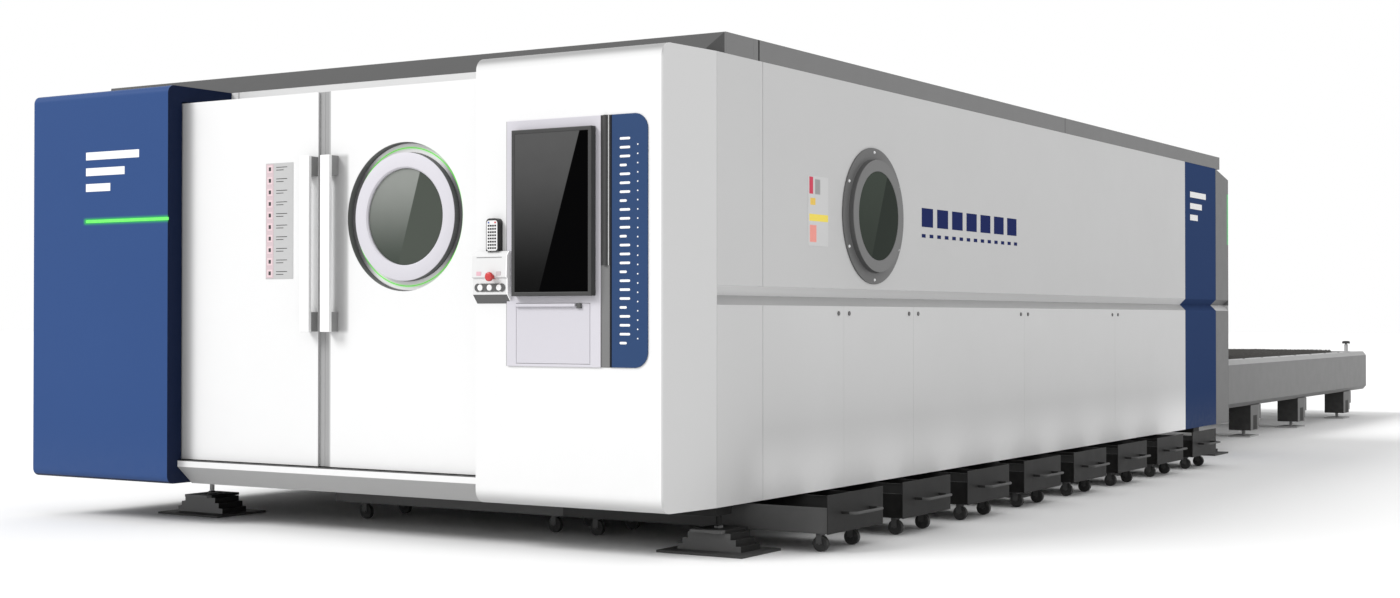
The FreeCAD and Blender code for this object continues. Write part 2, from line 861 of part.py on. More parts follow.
def push_button_places():
    """Centres in X of the three push buttons."""
    return [button_middle_x + i * button_spacing for i in (-1, 0, 1)]


def make_operator_box():
    outline = [(0, box_bottom), (-box_lower_depth, box_bevel_top),
               (-box_lower_depth, box_lip_z), (stop_face_y, box_lip_z + box_lip),
               (-box_depth, box_top - box_chamfer_rise), (box_chamfer_run - box_depth, box_top),
               (0, box_top)]
    right = box_left_x + box_width
    body = prism_x(outline, (box_left_x, right))
    body = body.cut(block((console_left_x, right + overrun),
                          (-console_panel_thickness, overrun),
                          (box_bottom - overrun, box_top + overrun)))
    hole = stop_stem_radius + button_clearance
    body = body.cut(round_y(hole, stop_x, stop_z, (stop_face_y - overrun, -box_lip)))
    places = push_button_places()
    reach = button_radius + button_clearance
    body = body.cut(block((places[0] - reach, places[-1] + reach),
                          (-box_lower_depth - overrun, -box_lip), (button_z - reach, button_z + reach)))
    save("operator_box", body)

    head = (stop_face_y - stop_head_gap - stop_head_length, stop_face_y - stop_head_gap)
    stem = (head[1], head[1] + stop_stem_length)
    save("emergency_stop", fused(round_y(stop_head_radius, stop_x, stop_z, head),
                                 rod_y(stop_stem_radius, round_sides, stop_x, stop_z, stem)))
    names = ("start_button", "pause_button", "reset_button")
    front = -box_lower_depth - button_proud
    for name, x in zip(names, places):
        save(name, rod_y(button_radius, button_sides, x, button_z,
                         (front, front + button_length)))

    x = pillar_left_x + remote_left_gap
    remote = block((x, x + remote_width), (-remote_depth, 0), (box_top, box_top + remote_height))
    corners = [e for e in remote.Edges
               if all(abs(v.Z - box_top - remote_height) < 0.01 for v in e.Vertexes)
               and abs(e.Vertexes[0].X - e.Vertexes[-1].X) < 0.01]
    save("remote_control", remote.makeFillet(remote_round, corners))


# ---------------------------------------------------------------- bed and feet
def hollow_beam(x, y, z, wall):
    """A rectangular tube along Y."""
    tube = block(x, y, z)
    bore = block((x[0] + wall, x[1] - wall), (y[0] - overrun, y[1] + overrun),
                 (z[0] + wall, z[1] - wall))
    return tube.cut(bore)


def trolley_gap_y(i):
    """Middle of the gap in front of trolley i."""
    gap = trolley_pitch - trolley_plate_width
    return trolley_first_y - gap / 2 + i * trolley_pitch


def make_bed():
    z = (bed_beam_bottom, bed_top_z)
    y = (bed_front_y, bed_rear_y)
    left = hollow_beam((bed_left_x, bed_left_x + bed_beam_width), y, z, bed_beam_wall)
    right = hollow_beam((bed_right_x - bed_beam_width, bed_right_x), y, z, bed_beam_wall)
    inner = (bed_left_x + bed_beam_width, bed_right_x - bed_beam_width)
    top = bed_beam_bottom + ridge_height
    ridges = []
    for i in range(trolley_count + 1):
        centre = trolley_gap_y(i)
        outline = [(centre - ridge_width / 2, bed_beam_bottom),
                   (centre + ridge_width / 2, bed_beam_bottom),
                   (centre + ridge_top_width / 2, top), (centre - ridge_top_width / 2, top)]
        ridges.append(prism_x(outline, inner))
    step = (wall_rear_y - body_front_y) / bracket_count
    brackets = []
    for i in range(bracket_count):
        centre = body_front_y + step * (i + 0.5)
        brackets.append(block((bed_right_x, cabinet_width - wall_thickness),
                              (centre - bracket_width / 2, centre + bracket_width / 2),
                              (bed_beam_bottom, bed_beam_bottom + bracket_height)))
    shelf = block((wall_thickness, bed_left_x), y,
                  (bed_beam_bottom, bed_beam_bottom + shelf_thickness))
    save("bed_frame", left, right, shelf, *(ridges + brackets))


def make_rails():
    """Gantry rails on the bed beams and the pallets' tracks on both levels."""
    rails = []
    for centre in (bed_left_x + bed_beam_width / 2, bed_right_x - bed_beam_width / 2):
        rails.append(block((centre - gantry_rail_width / 2, centre + gantry_rail_width / 2),
                           (bed_front_y, bed_rear_y), (bed_top_z, gantry_rail_top)))
    for level in (lower_track_z, upper_track_z):
        z = (level - track_thickness, level)
        inside = (bed_front_y, cabinet_rear_y)
        outside = (cabinet_rear_y, table_rear_y - table_end_beam)
        left_lip = track_left_x + track_reach
        right_lip = track_right_x - track_reach
        rails.append(block((bed_left_x + bed_beam_width, left_lip), inside, z))
        rails.append(block((right_lip, bed_right_x - bed_beam_width), inside, z))
        rails.append(block((track_left_x, left_lip), outside, z))
        rails.append(block((right_lip, track_right_x), outside, z))
    save("rails_and_tracks", *rails)


def foot(x, y, depth):
    """A levelling foot: thin base plate, stepped plinth, pad, threaded rod and bed post."""
    half = foot_length / 2
    plate = block((x - half, x + half), (y - depth / 2, y + depth / 2), (0, foot_plate))
    z = foot_plate
    outline = [(x - half + foot_plinth_inset, z)]
    for i in range(foot_steps):
        edge = x - half + foot_plinth_inset + i * foot_step_run
        level = z + (i + 1) * foot_step_rise
        outline += [(edge, level), (edge + foot_step_run, level)]
    top = z + foot_steps * foot_step_rise
    outline += [(2 * x - px, pz) for px, pz in reversed(outline)]
    plinth = prism_y(outline, (y - depth / 4, y + depth / 4))
    pad_half = half - foot_plinth_inset - foot_steps * foot_step_run
    pad = block((x - pad_half, x + pad_half), (y - depth / 3, y + depth / 3),
                (top, top + foot_pad))
    rod = rod_z(foot_rod_radius, round_sides, x, y,
                (top + foot_pad, bed_beam_bottom - foot_post))
    return fused(plate, plinth, pad, rod)


def bed_post(beam_x, foot_x, y):
    """The post under a bed beam that reaches out to a foot's threaded rod."""
    half = foot_post_width / 2
    side = 1 if foot_x > beam_x else -1
    edges = (beam_x - side * half, foot_x + side * foot_post_edge)
    return block((min(edges), max(edges)), (y - half, y + half),
                 (bed_beam_bottom - foot_post, bed_beam_bottom))


def make_feet():
    left = bed_left_x + bed_beam_width / 2
    right = bed_right_x - bed_beam_width / 2
    middle_y = trolley_gap_y(trolley_count / 2)
    places = ((foot_front_y, foot_depth), (middle_y, foot_slim_depth), (foot_rear_y, foot_depth))
    feet = []
    for beam_x, foot_x in ((left, left - foot_outboard), (right, right + foot_outboard)):
        for y, depth in places:
            feet += [foot(foot_x, y, depth), bed_post(beam_x, foot_x, y)]
    save("levelling_feet", *feet)


def make_source():
    x = (wall_thickness + source_left_gap, wall_thickness + source_left_gap + source_width)
    y = (bed_front_y + source_front_gap, bed_front_y + source_front_gap + source_length)
    floor = bed_beam_bottom + shelf_thickness
    body = block(x, y, (floor, floor + source_height))
    body = body.cut(block((x[0] + source_sheet, x[1] - source_sheet),
                          (y[0] + source_sheet, y[1] - source_sheet),
                          (floor - overrun, floor + source_height - source_sheet)))
    save("laser_source", body)


# ---------------------------------------------------------------- gantry
def make_gantry():
    y = gantry_rest_y
    end_z = (gantry_rail_top + running_gap, gantry_rail_top + gantry_end_height)
    ends = []
    for centre in (bed_left_x + bed_beam_width / 2, bed_right_x - bed_beam_width / 2):
        ends.append(block((centre - gantry_end_width / 2, centre + gantry_end_width / 2),
                          (y - gantry_end_length / 2, y + gantry_end_length / 2), end_z))
    x = (bed_left_x + (bed_beam_width - gantry_end_width) / 2,
         bed_right_x - (bed_beam_width - gantry_end_width) / 2)
    depth = (y - gantry_beam_depth / 2, y + gantry_beam_depth / 2)
    z = (end_z[1], end_z[1] + gantry_beam_height)
    wall = gantry_beam_wall
    bore = block((x[0] - overrun, x[1] + overrun), (depth[0] + wall, depth[1] - wall),
                 (z[0] + wall, z[1] - wall))
    tube = block(x, depth, z).cut(bore)
    rails = []
    for low in (z[0] + cross_rail_inset, z[1] - cross_rail_inset - cross_rail_size):
        rails.append(block(x, (depth[0] - cross_rail_size, depth[0]),
                           (low, low + cross_rail_size)))
    save("gantry_beam", fused(tube, *(ends + rails)))

    back = depth[0] - cross_rail_size - running_gap
    front = back - carriage_depth
    middle = (z[0] + z[1]) / 2
    span = (bed_centre_x - carriage_width / 2, bed_centre_x + carriage_width / 2)
    plate_z = (middle - carriage_height / 2, middle + carriage_height / 2)
    plate = block(span, (front, back), plate_z)
    motor_x = (bed_centre_x - motor_size / 2, bed_centre_x + motor_size / 2)
    motor = block(motor_x, (front, back), (plate_z[1], plate_z[1] + motor_height))
    plate = plate.fuse(motor).removeSplitter()
    save("head_carriage", plate)

    back = front - running_gap
    front = back - head_depth
    centre = (front + back) / 2
    top = nozzle_rest_z + nozzle_length
    body = block((bed_centre_x - head_width / 2, bed_centre_x + head_width / 2), (front, back),
                 (top, top + head_body_length))
    neck_z = nozzle_rest_z + nozzle_tip_length
    tip = round_z(nozzle_tip_radius, bed_centre_x, centre, (nozzle_rest_z, neck_z))
    neck = round_z(nozzle_radius, bed_centre_x, centre, (neck_z, top))
    save("cutting_head", fused(body, neck, tip))


# ---------------------------------------------------------------- pallets
def toothed_slat(y, track_z):
    """A steel support slat across the pallet, with a row of pointed teeth along its top."""
    x0 = pallet_left_x + pallet_rail_width
    pitch = (pallet_width - 2 * pallet_rail_width) / tooth_count
    low = track_z + slat_lift
    tip = low + slat_height
    root = tip - tooth_depth
    outline = [(x0, low), (x0, root)]
    for i in range(tooth_count):
        outline.append((x0 + (i + 0.5) * pitch, tip))
        outline.append((x0 + (i + 1) * pitch, root))
    outline.append((x0 + tooth_count * pitch, low))
    return prism_y(outline, (y - slat_thickness / 2, y + slat_thickness / 2))


def pallet_wheel(side, y, track_z):
    """A wheel outside the pallet's left (-1) or right (1) rail."""
    face = pallet_left_x if side < 0 else pallet_right_x
    rim = face + side * wheel_width
    z = track_z + wheel_radius + running_gap
    return rod_x(wheel_radius, round_sides, y, z, (min(face, rim), max(face, rim)))


def make_pallet(name, y0, track_z):
    """A pallet frame on wheels and its slats, with its front edge at y0."""
    y = (y0, y0 + pallet_length)
    z = (track_z, track_z + pallet_rail_height)
    left = block((pallet_left_x, pallet_left_x + pallet_rail_width), y, z)
    right = block((pallet_right_x - pallet_rail_width, pallet_right_x), y, z)
    inner = (pallet_left_x + pallet_rail_width, pallet_right_x - pallet_rail_width)
    step = (pallet_length - pallet_cross_width) / (pallet_cross_count - 1)
    crossings = []
    for i in range(pallet_cross_count):
        start = y0 + i * step
        full = i in (0, pallet_cross_count - 1)
        height = pallet_rail_height if full else slat_lift
        crossings.append(block(inner, (start, start + pallet_cross_width),
                               (track_z, track_z + height)))
    wheel_step = (pallet_length - 2 * wheel_inset) / (wheel_count - 1)
    wheels = [pallet_wheel(side, y0 + wheel_inset + i * wheel_step, track_z)
              for side in (-1, 1) for i in range(wheel_count)]
    save(name + "_pallet_frame", left, right, *(crossings + wheels))

    free = pallet_length - 2 * pallet_cross_width
    count = int(free // slat_pitch)
    first = y0 + pallet_cross_width + (free - (count - 1) * slat_pitch) / 2
    save(name + "_pallet_slats",
         *[toothed_slat(first + i * slat_pitch, track_z) for i in range(count)])


# ---------------------------------------------------------------- exchange table
def make_table():
    y = (cabinet_rear_y, table_rear_y)
    c = table_beam_chamfer
    outline = [(track_right_x, table_beam_bottom), (table_right_x - c, table_beam_bottom),
               (table_right_x, table_beam_bottom + c), (table_right_x, table_top_z - c),
               (table_right_x - c, table_top_z), (track_right_x, table_top_z)]
    beam = prism_y(outline, y)
    e = table_end_chamfer
    corner = prism_z([(table_right_x - e, table_rear_y), (table_right_x, table_rear_y - e),
                      (table_right_x + overrun, table_rear_y - e),
                      (table_right_x + overrun, table_rear_y + overrun),
                      (table_right_x - e, table_rear_y + overrun)],
                     (0, wall_top))
    beam = beam.cut(corner)
    end = block((track_left_x, track_right_x), (table_rear_y - table_end_beam, table_rear_y),
                (table_beam_bottom, table_top_z))
    ties = [block((track_left_x, track_right_x),
                  (leg_y - table_cross_width / 2, leg_y + table_cross_width / 2),
                  (table_beam_bottom, table_beam_bottom + table_cross_height))
            for leg_y in table_legs_y]
    ribs = []
    leg_x = leg_span()
    for leg_y in table_legs_y:
        start = leg_y + table_leg_length / 2
        ribs.append(block(leg_x, (start, start + table_rib_length),
                          (table_leg_bottom + table_rib_drop, table_beam_bottom)))
    ribs += [mirrored(rib, bed_centre_x) for rib in ribs]
    save("table_frame", beam, mirrored(beam, bed_centre_x), end, *(ties + ribs))


def leg_span():
    """Span in X of the right-hand table legs."""
    outer = table_right_x - table_leg_inset
    return (outer - table_leg_width, outer)


def make_table_legs():
    x = leg_span()
    centre = (x[0] + x[1]) / 2
    legs = []
    for leg_y in table_legs_y:
        half = table_leg_length / 2
        box = block(x, (leg_y - half, leg_y + half), (table_leg_bottom, table_beam_bottom))
        start = leg_y + half + table_rib_length
        small = block(x, (start, start + table_box_length),
                      (table_beam_bottom - table_box_height, table_beam_bottom))
        rod = rod_z(table_rod_radius, round_sides, centre, leg_y,
                    (table_plate, table_leg_bottom))
        plate_half = table_plate_length / 2
        plate = block(x, (leg_y - plate_half, leg_y + plate_half), (0, table_plate))
        legs += [fused(box, rod, plate), small]
    legs += [mirrored(leg, bed_centre_x) for leg in legs]
    stop_x = table_right_x - stop_post_inset
    save("table_legs", *(legs + [stop_post(stop_x)]))

    low = table_top_z + stop_post_height + table_stop_gap
    head = round_z(table_stop_radius, stop_x, stop_post_y, (low, low + table_stop_height))
    stem = rod_z(table_stop_stem_radius, round_sides, stop_x, stop_post_y,
                 (low - table_stop_stem, low))
    save("table_stop_button", fused(head, stem))


def stop_post(x):
    """The post on the table that carries the mushroom stop button in a hole in its top."""
    base = stop_post_base / 2
    plate_z = (table_top_z, table_top_z + stop_post_base_height)
    top = table_top_z + stop_post_height
    plate = block((x - base, x + base), (stop_post_y - base, stop_post_y + base), plate_z)
    post = rod_z(stop_post_radius, round_sides, x, stop_post_y, (plate_z[1], top))
    depth = table_stop_stem - table_stop_gap + table_stop_travel + button_clearance
    hole = rod_z(table_stop_stem_radius + button_clearance, round_sides, x, stop_post_y,
                 (top - depth, top + overrun))
    return fused(plate, post).cut(hole)


# ---------------------------------------------------------------- scrap trolleys
def caster(x, y, top):
    """A caster under the tray: a wheel that runs up into its tapered fork."""
    half = caster_fork_length / 2
    rim = arc_points(caster_radius, caster_sides, 180, 360)
    outline = [(x + px, caster_radius + pz) for px, pz in rim]
    outline += [(x + half, top), (x - half, top)]
    return prism_y(outline, (y - caster_width / 2, y + caster_width / 2))


def tray(x, y):
    """An open-topped sheet tray."""
    z = (trolley_plate_bottom, trolley_plate_bottom + trolley_tray_height)
    s = trolley_sheet
    return block(x, y, z).cut(block((x[0] + s, x[1] - s), (y[0] + s, y[1] - s),
                                    (z[0] + s, z[1] + overrun)))


def make_trolley(i):
    """Two coupled open trays on casters with one front plate and a pull bar."""
    y0 = trolley_first_y + i * trolley_pitch
    y1 = y0 + trolley_plate_width
    front = trolley_front_x - trolley_plate
    tray_y = (y0 + trolley_tray_inset, y1 - trolley_tray_inset)
    outer_x = (front - trolley_length, front)
    inner_x = (outer_x[0] - trolley_link - trolley_length, outer_x[0] - trolley_link)
    middle = (y0 + y1) / 2
    plate_z = (trolley_plate_bottom, trolley_plate_bottom + trolley_plate_height)
    plate = block((front, trolley_front_x), (y0, y1), plate_z)
    half = trolley_handle_width / 2
    bar = trolley_handle_bar
    handle_z = (plate_z[0] + plate_z[1]) / 2
    z = (handle_z - bar / 2, handle_z + bar / 2)
    reach = (trolley_front_x, trolley_front_x + trolley_handle_reach)
    arms = [block(reach, (middle - half, middle - half + bar), z),
            block(reach, (middle + half - bar, middle + half), z),
            block((reach[1] - bar, reach[1]), (middle - half, middle + half), z)]
    link = block((inner_x[1], outer_x[0]),
                 (middle - trolley_link_width / 2, middle + trolley_link_width / 2),
                 (trolley_plate_bottom, trolley_plate_bottom + trolley_link_width))
    outer_tray = fused(tray(outer_x, tray_y), plate, *arms)
    inner_tray = fused(tray(inner_x, tray_y), link)
    wheels = []
    for x0, x1 in (outer_x, inner_x):
        for x in (x0 + caster_base_inset, x1 - caster_end_inset):
            for y in (y0 + caster_near_inset, y1 - caster_far_inset):
                wheels.append(caster(x, y, trolley_plate_bottom))
    save("scrap_trolley_%d" % (i + 1), outer_tray, inner_tray, *wheels)


os.makedirs("parts", exist_ok=True)
make_walls()
make_side_window()
make_roof()
make_rear()
make_cover()
make_pillar()
make_front_wall()
make_sill()
make_doors()
make_console()
make_flap()
make_operator_box()
make_bed()
make_rails()
make_feet()
make_source()
make_gantry()
make_pallet("upper", pallet_outside_y, upper_track_z)
make_pallet("lower", pallet_inside_y, lower_track_z)
make_table()
make_table_legs()
for number in range(trolley_count):
    make_trolley(number)
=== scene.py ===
"""Looks of a fibre laser cutting machine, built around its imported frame.

Every length is in metres. X runs right, Y runs back and Z runs up from the floor.
"""
import logging
import math
from dataclasses import dataclass
from enum import Enum
from typing import Callable, Iterable, Sequence

import bmesh
import bpy
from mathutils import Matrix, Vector


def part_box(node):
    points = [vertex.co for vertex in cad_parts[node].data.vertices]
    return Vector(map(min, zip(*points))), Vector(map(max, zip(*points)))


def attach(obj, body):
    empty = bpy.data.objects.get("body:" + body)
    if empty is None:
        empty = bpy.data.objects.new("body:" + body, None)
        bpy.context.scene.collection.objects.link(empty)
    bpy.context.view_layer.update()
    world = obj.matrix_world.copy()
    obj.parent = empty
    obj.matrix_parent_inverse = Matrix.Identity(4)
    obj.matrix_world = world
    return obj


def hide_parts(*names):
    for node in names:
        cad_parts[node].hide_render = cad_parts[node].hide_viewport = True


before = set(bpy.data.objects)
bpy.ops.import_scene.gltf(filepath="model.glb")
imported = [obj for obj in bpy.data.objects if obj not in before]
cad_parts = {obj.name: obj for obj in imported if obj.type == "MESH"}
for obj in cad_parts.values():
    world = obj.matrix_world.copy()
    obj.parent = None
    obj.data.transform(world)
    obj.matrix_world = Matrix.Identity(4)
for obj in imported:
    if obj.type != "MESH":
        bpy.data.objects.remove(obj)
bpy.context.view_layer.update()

Piece = bpy.types.Object
Mesh = bmesh.types.BMesh
Triple = tuple[float, float, float]
Colour = Triple
Span = tuple[float, float]
Point = Sequence[float]
Outline = Sequence[Span]
Operand = "Value | float | int | Point"
Inputs = "dict[int | str, Operand] | None"

LOG = logging.getLogger("laser_machine")
BODY = "machine_body"
SHARP_ANGLE = math.radians(28)
FLAT_ANGLE = math.radians(1.0)
OVER = 0.01      # reach of a zone past the face that it lies on
FILM = 0.0008    # thickness of what is printed or stuck on


def paint(red: int, green: int, blue: int) -> Colour:
    """Linear colour of an 8-bit display colour.

    Args:
        red, green, blue: display values from 0 to 255.

    Returns:
        The three linear values.
    """
    def linear(value: float) -> float:
        """One channel without its display curve."""
        value /= 255
        return value / 12.92 if value <= 0.04045 else ((value + 0.055) / 1.055) ** 2.4
    return linear(red), linear(green), linear(blue)


def shade(level: int) -> Colour:
    """Neutral grey of one 8-bit display level."""
    return paint(level, level, level)


def scaled(colour: Colour, factor: float, lift: float = 0.0) -> Colour:
    """A colour times a factor, lifted and held to 1."""
    return tuple(min(1.0, factor * c + lift) for c in colour)


# --- frame helpers
class Axis(Enum):
    """Direction along which an outline is drawn out or a round part is turned."""
    X = 0
    Y = 1
    Z = 2

    def place(self, across: float, up: float, along: float) -> Vector:
        """A point from the two outline numbers and the one along the axis.

        Args:
            across, up: the outline's two numbers.
            along: distance along the axis.

        Returns:
            The point.
        """
        if self is Axis.X:
            return Vector((along, across, up))
        if self is Axis.Y:
            return Vector((across, along, up))
        return Vector((across, up, along))


@dataclass(frozen=True)
class Space:
    """The box of a node at rest."""
    low: Vector
    high: Vector

    @classmethod
    def of(cls, node: str) -> "Space":
        """The box of the named node."""
        return cls(*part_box(node))

    @property
    def centre(self) -> Vector:
        """Middle of the box."""
        return (self.low + self.high) / 2

    @property
    def size(self) -> Vector:
        """Edge lengths of the box."""
        return self.high - self.low

    def first(self, axis: Axis, depth: float) -> Span:
        """The strip of one depth at the box's lower end."""
        return self.low[axis.value] - OVER, self.low[axis.value] + depth

    def last(self, axis: Axis, depth: float) -> Span:
        """The strip of one depth at the box's upper end."""
        return self.high[axis.value] - depth, self.high[axis.value] + OVER


def fit(piece: Piece, slot: str, *replaced: str, body: str = BODY) -> None:
    """Hangs a finished piece on its body.

    Args:
        piece: object with its place in its mesh.
        slot: material slot that its finish belongs to; not used.
        replaced: nodes that it stands for.
        body: body that carries it.
    """
    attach(piece, body)
    if replaced:
        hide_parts(*replaced)
    LOG.info("%s: %d faces on %s", piece.name, len(piece.data.polygons), body)


# --- node trees
def operator(operation: str, swapped: bool = False) -> Callable:
    """The method of one Python operator.

    Args:
        operation: name of the node operation.
        swapped: whether the value stands on the right.

    Returns:
        The method.
    """
    def join(value: "Value", other: Operand) -> "Value":
        """Adds the operation's node.

        Args:
            value: the operator's own value.
            other: the value on its other side.

        Returns:
            The result.
        """
        left, right = (other, value) if swapped else (value, other)
        if value.socket.type == "VECTOR":
            return value.tree.value("ShaderNodeVectorMath", {"operation": operation},
                                    {0: left, 1: right})
        return value.tree.math(operation, left, right)
    return join


class Value:
    """A socket of a node tree that Python operators extend with new nodes."""
    __add__ = operator("ADD")
    __sub__, __rsub__ = operator("SUBTRACT"), operator("SUBTRACT", True)
    __mul__, __rmul__ = operator("MULTIPLY"), operator("MULTIPLY", True)
    __truediv__ = operator("DIVIDE")

    def __init__(self, tree: "Tree", socket: bpy.types.NodeSocket) -> None:
        """Wraps one output socket of a tree."""
        self.tree, self.socket = tree, socket

    def power(self, exponent: float) -> "Value":
        """This number to a power."""
        return self.tree.math("POWER", self, exponent)

    def size(self) -> "Value":
        """Absolute number."""
        return self.tree.math("ABSOLUTE", self, 0.0)

    def above(self, limit: float) -> "Value":
        """1 where the number is over a limit."""
        return self.tree.math("GREATER_THAN", self, limit)

    def ramp(self, low: float, high: float) -> "Value":
        """A smooth step from 0 at low to 1 at high, held outside them."""
        return self.tree.value("ShaderNodeMapRange", {"interpolation_type": "SMOOTHSTEP"},
                               {"Value": self, "From Min": low, "From Max": high})

    def between(self, low: Span, high: Span) -> "Value":
        """A step up over the first span and down again over the second."""
        return self.ramp(*low) * (1 - self.ramp(*high))


class Tree:
    """Makes the nodes of one tree."""

    def __init__(self, nodes: bpy.types.NodeTree) -> None:
        """Starts on an empty node tree."""
        self.nodes = nodes

    @staticmethod
    def _find(sockets: Iterable[bpy.types.NodeSocket], key: "int | str") -> bpy.types.NodeSocket:
        """The socket with an index, an identifier or a name.

        Args:
            sockets: inputs or outputs of a node.
            key: what the socket is known by.

        Returns:
            The socket.
        """
        if isinstance(key, int):
            return sockets[key]
        exact = [s for s in sockets if s.identifier == key]
        return (exact or [s for s in sockets if s.name == key and s.enabled])[0]

    def node(self, kind: str, settings: dict | None = None,
             inputs: Inputs = None) -> bpy.types.Node:
        """Makes a node.

        Args:
            kind: node type.
            settings: its properties.
            inputs: values or links of its sockets, by index, identifier or name.

        Returns:
            The node.
        """
        made = self.nodes.nodes.new(kind)
        for key, value in (settings or {}).items():
            setattr(made, key, value)
        for key, value in (inputs or {}).items():
            socket = self._find(made.inputs, key)
            if isinstance(value, Value):
                self.nodes.links.new(value.socket, socket)
            elif socket.type == "RGBA" and not isinstance(value, (int, float)):
                socket.default_value = (*value[:3], 1.0)
            else:
                socket.default_value = value
        return made

    def value(self, kind: str, settings: dict | None = None, inputs: Inputs = None,
              output: "int | str" = 0) -> Value:
        """One result of a new node, made as node makes it."""
        return Value(self, self._find(self.node(kind, settings, inputs).outputs, output))

    def split(self, vector: Value) -> list[Value]:
        """The three numbers of a vector."""
        made = self.node("ShaderNodeSeparateXYZ", None, {0: vector})
        return [Value(self, socket) for socket in made.outputs]

    def math(self, operation: str, left: Operand, right: Operand) -> Value:
        """A Math node's result."""
        return self.value("ShaderNodeMath", {"operation": operation}, {0: left, 1: right})


class ShaderTree(Tree):
    """The node tree of one material, read in the machine's own coordinates."""

    def __init__(self, name: str) -> None:
        """Makes an empty material.

        Args:
            name: the material's name.
        """
        self.material = bpy.data.materials.new(name)
        self.material.use_nodes = True
        super().__init__(self.material.node_tree)
        self.nodes.nodes.clear()
        self.place = self.value("ShaderNodeTexCoord", output="Object")
        self.x, self.y, self.z = self.split(self.place)

    def mix(self, factor: Operand, first: Operand, second: Operand,
            blend: str = "MIX") -> Value:
        """Mixes two colours.

        Args:
            factor: share of the second colour.
            first, second: the colours.
            blend: how the second goes over the first.

        Returns:
            The mixed colour.
        """
        return self.value("ShaderNodeMix", {"data_type": "RGBA", "blend_type": blend},
                          {"Factor_Float": factor, "A_Color": first, "B_Color": second},
                          "Result_Color")

    def noise(self, cell: float, detail: float = 2.0, stretch: Point = (1, 1, 1)) -> Value:
        """Noise over the surface.

        Args:
            cell: size of its patches.
            detail: how many finer layers it has.
            stretch: factors of the patches' frequency along each axis.

        Returns:
            A number about 0.5.
        """
        place = self.place * tuple(s / cell for s in stretch)
        return self.value("ShaderNodeTexNoise", None,
                          {"Vector": place, "Scale": 1.0, "Detail": detail})

    def bump(self, height: Value, depth: float, strength: float) -> Value:
        """The normal of a relief of some depth, of which a share is seen."""
        return self.value("ShaderNodeBump", None,
                          {"Height": height, "Distance": depth, "Strength": strength})

    def surface(self, colour: Operand, roughness: Operand, normal: Value,
                **sockets: Operand) -> None:
        """Ends the tree in a surface.

        Args:
            colour: base colour.
            roughness: roughness.
            normal: bumped normal.
            sockets: further inputs, with _ for each space in a name.
        """
        inputs = {"Base Color": colour, "Roughness": roughness, "Normal": normal}
        inputs |= {key.replace("_", " "): value for key, value in sockets.items()}
        shader = self.value("ShaderNodeBsdfPrincipled", None, inputs)
        self.node("ShaderNodeOutputMaterial", None, {"Surface": shader})


# --- finishes
@dataclass(frozen=True)
class Zone:
    """A stretch of a surface in another colour, bounded along one or more axes."""
    colour: Colour
    x: Span | None = None
    y: Span | None = None
    z: Span | None = None
    soft: float = 0.0004
    strength: float = 1.0

    def mask(self, tree: ShaderTree) -> Value:
        """Where the zone lies in a material, from 0 to 1.

        Args:
            tree: the material's tree.

        Returns:
            The share of the zone's colour.
        """
        share: Value | float = self.strength
        for axis, span in ((tree.x, self.x), (tree.y, self.y), (tree.z, self.z)):
            if span is not None:
                low, high = span
                share = share * axis.ramp(low - self.soft, low + self.soft)
                share = share * (1 - axis.ramp(high - self.soft, high + self.soft))
        return share


@dataclass(frozen=True)
class Finish:
    """A surface finish; each kind makes its own node tree."""
    name: str

    def material(self) -> bpy.types.Material:
        """The finish's material, made once.

        Returns:
            The material.
        """
        found = bpy.data.materials.get(self.name)
        if found:
            return found
        tree = ShaderTree(self.name)
        self.dress(tree)
        return tree.material

    def dress(self, tree: ShaderTree) -> None:
        """Fills the material's tree."""
        raise NotImplementedError


@dataclass(frozen=True)
class PowderCoat(Finish):
    """Baked powder paint: fine orange peel, faint cloudiness and a little floor dust."""
    colour: Colour = (0.7, 0.7, 0.7)
    roughness: float = 0.42
    peel: float = 0.0045
    peel_depth: float = 0.00035
    peel_share: float = 0.22
    cloud: float = 0.03
    cloud_size: float = 0.7
    wear: float = 0.12
    wear_size: float = 0.12
    specular: float = 0.12
    dust: Colour = (0.42, 0.41, 0.39)
    dust_foot: float = 0.05
    dust_height: float = 0.55
    dust_share: float = 0.07
    zones: tuple[Zone, ...] = ()

    def dress(self, tree: ShaderTree) -> None:
        """Fills the material's tree.

        Args:
            tree: the material's empty tree.
        """
        cloud = (tree.noise(self.cloud_size, 3.0) - 0.5) * (2 * self.cloud) + 1.0
        grey = tree.value("ShaderNodeCombineColor", None, {0: cloud, 1: cloud, 2: cloud})
        base = self.tone(tree, tree.mix(1.0, self.colour, grey, "MULTIPLY"))
        dusty = (1 - tree.z.ramp(self.dust_foot, self.dust_height)) * tree.noise(0.05, 4.0)
        base = tree.mix(dusty * (2 * self.dust_share), base, self.dust)
        peel = tree.noise(self.peel, 1.0)
        rough = (tree.noise(self.wear_size, 3.0) - 0.5) * self.wear + self.roughness
        tree.surface(base, rough + dusty * 0.1,
                     tree.bump(peel, self.peel_depth, self.peel_share),
                     Specular_IOR_Level=self.specular)

    def tone(self, tree: ShaderTree, base: Value) -> Value:
        """Lays the zones over the base colour.

        Args:
            tree: the material's tree.
            base: the plain colour.

        Returns:
            The colour with all that lies on it.
        """
        for zone in self.zones:
            base = tree.mix(zone.mask(tree), base, zone.colour)
        return base


@dataclass(frozen=True)
class CleanCoat(PowderCoat):
    """Powder paint that floor dust doesn't reach."""
    dust_share: float = 0.0


@dataclass(frozen=True)
class Ink(PowderCoat):
    """Printed ink or film with a fine grain."""
    peel: float = 0.002


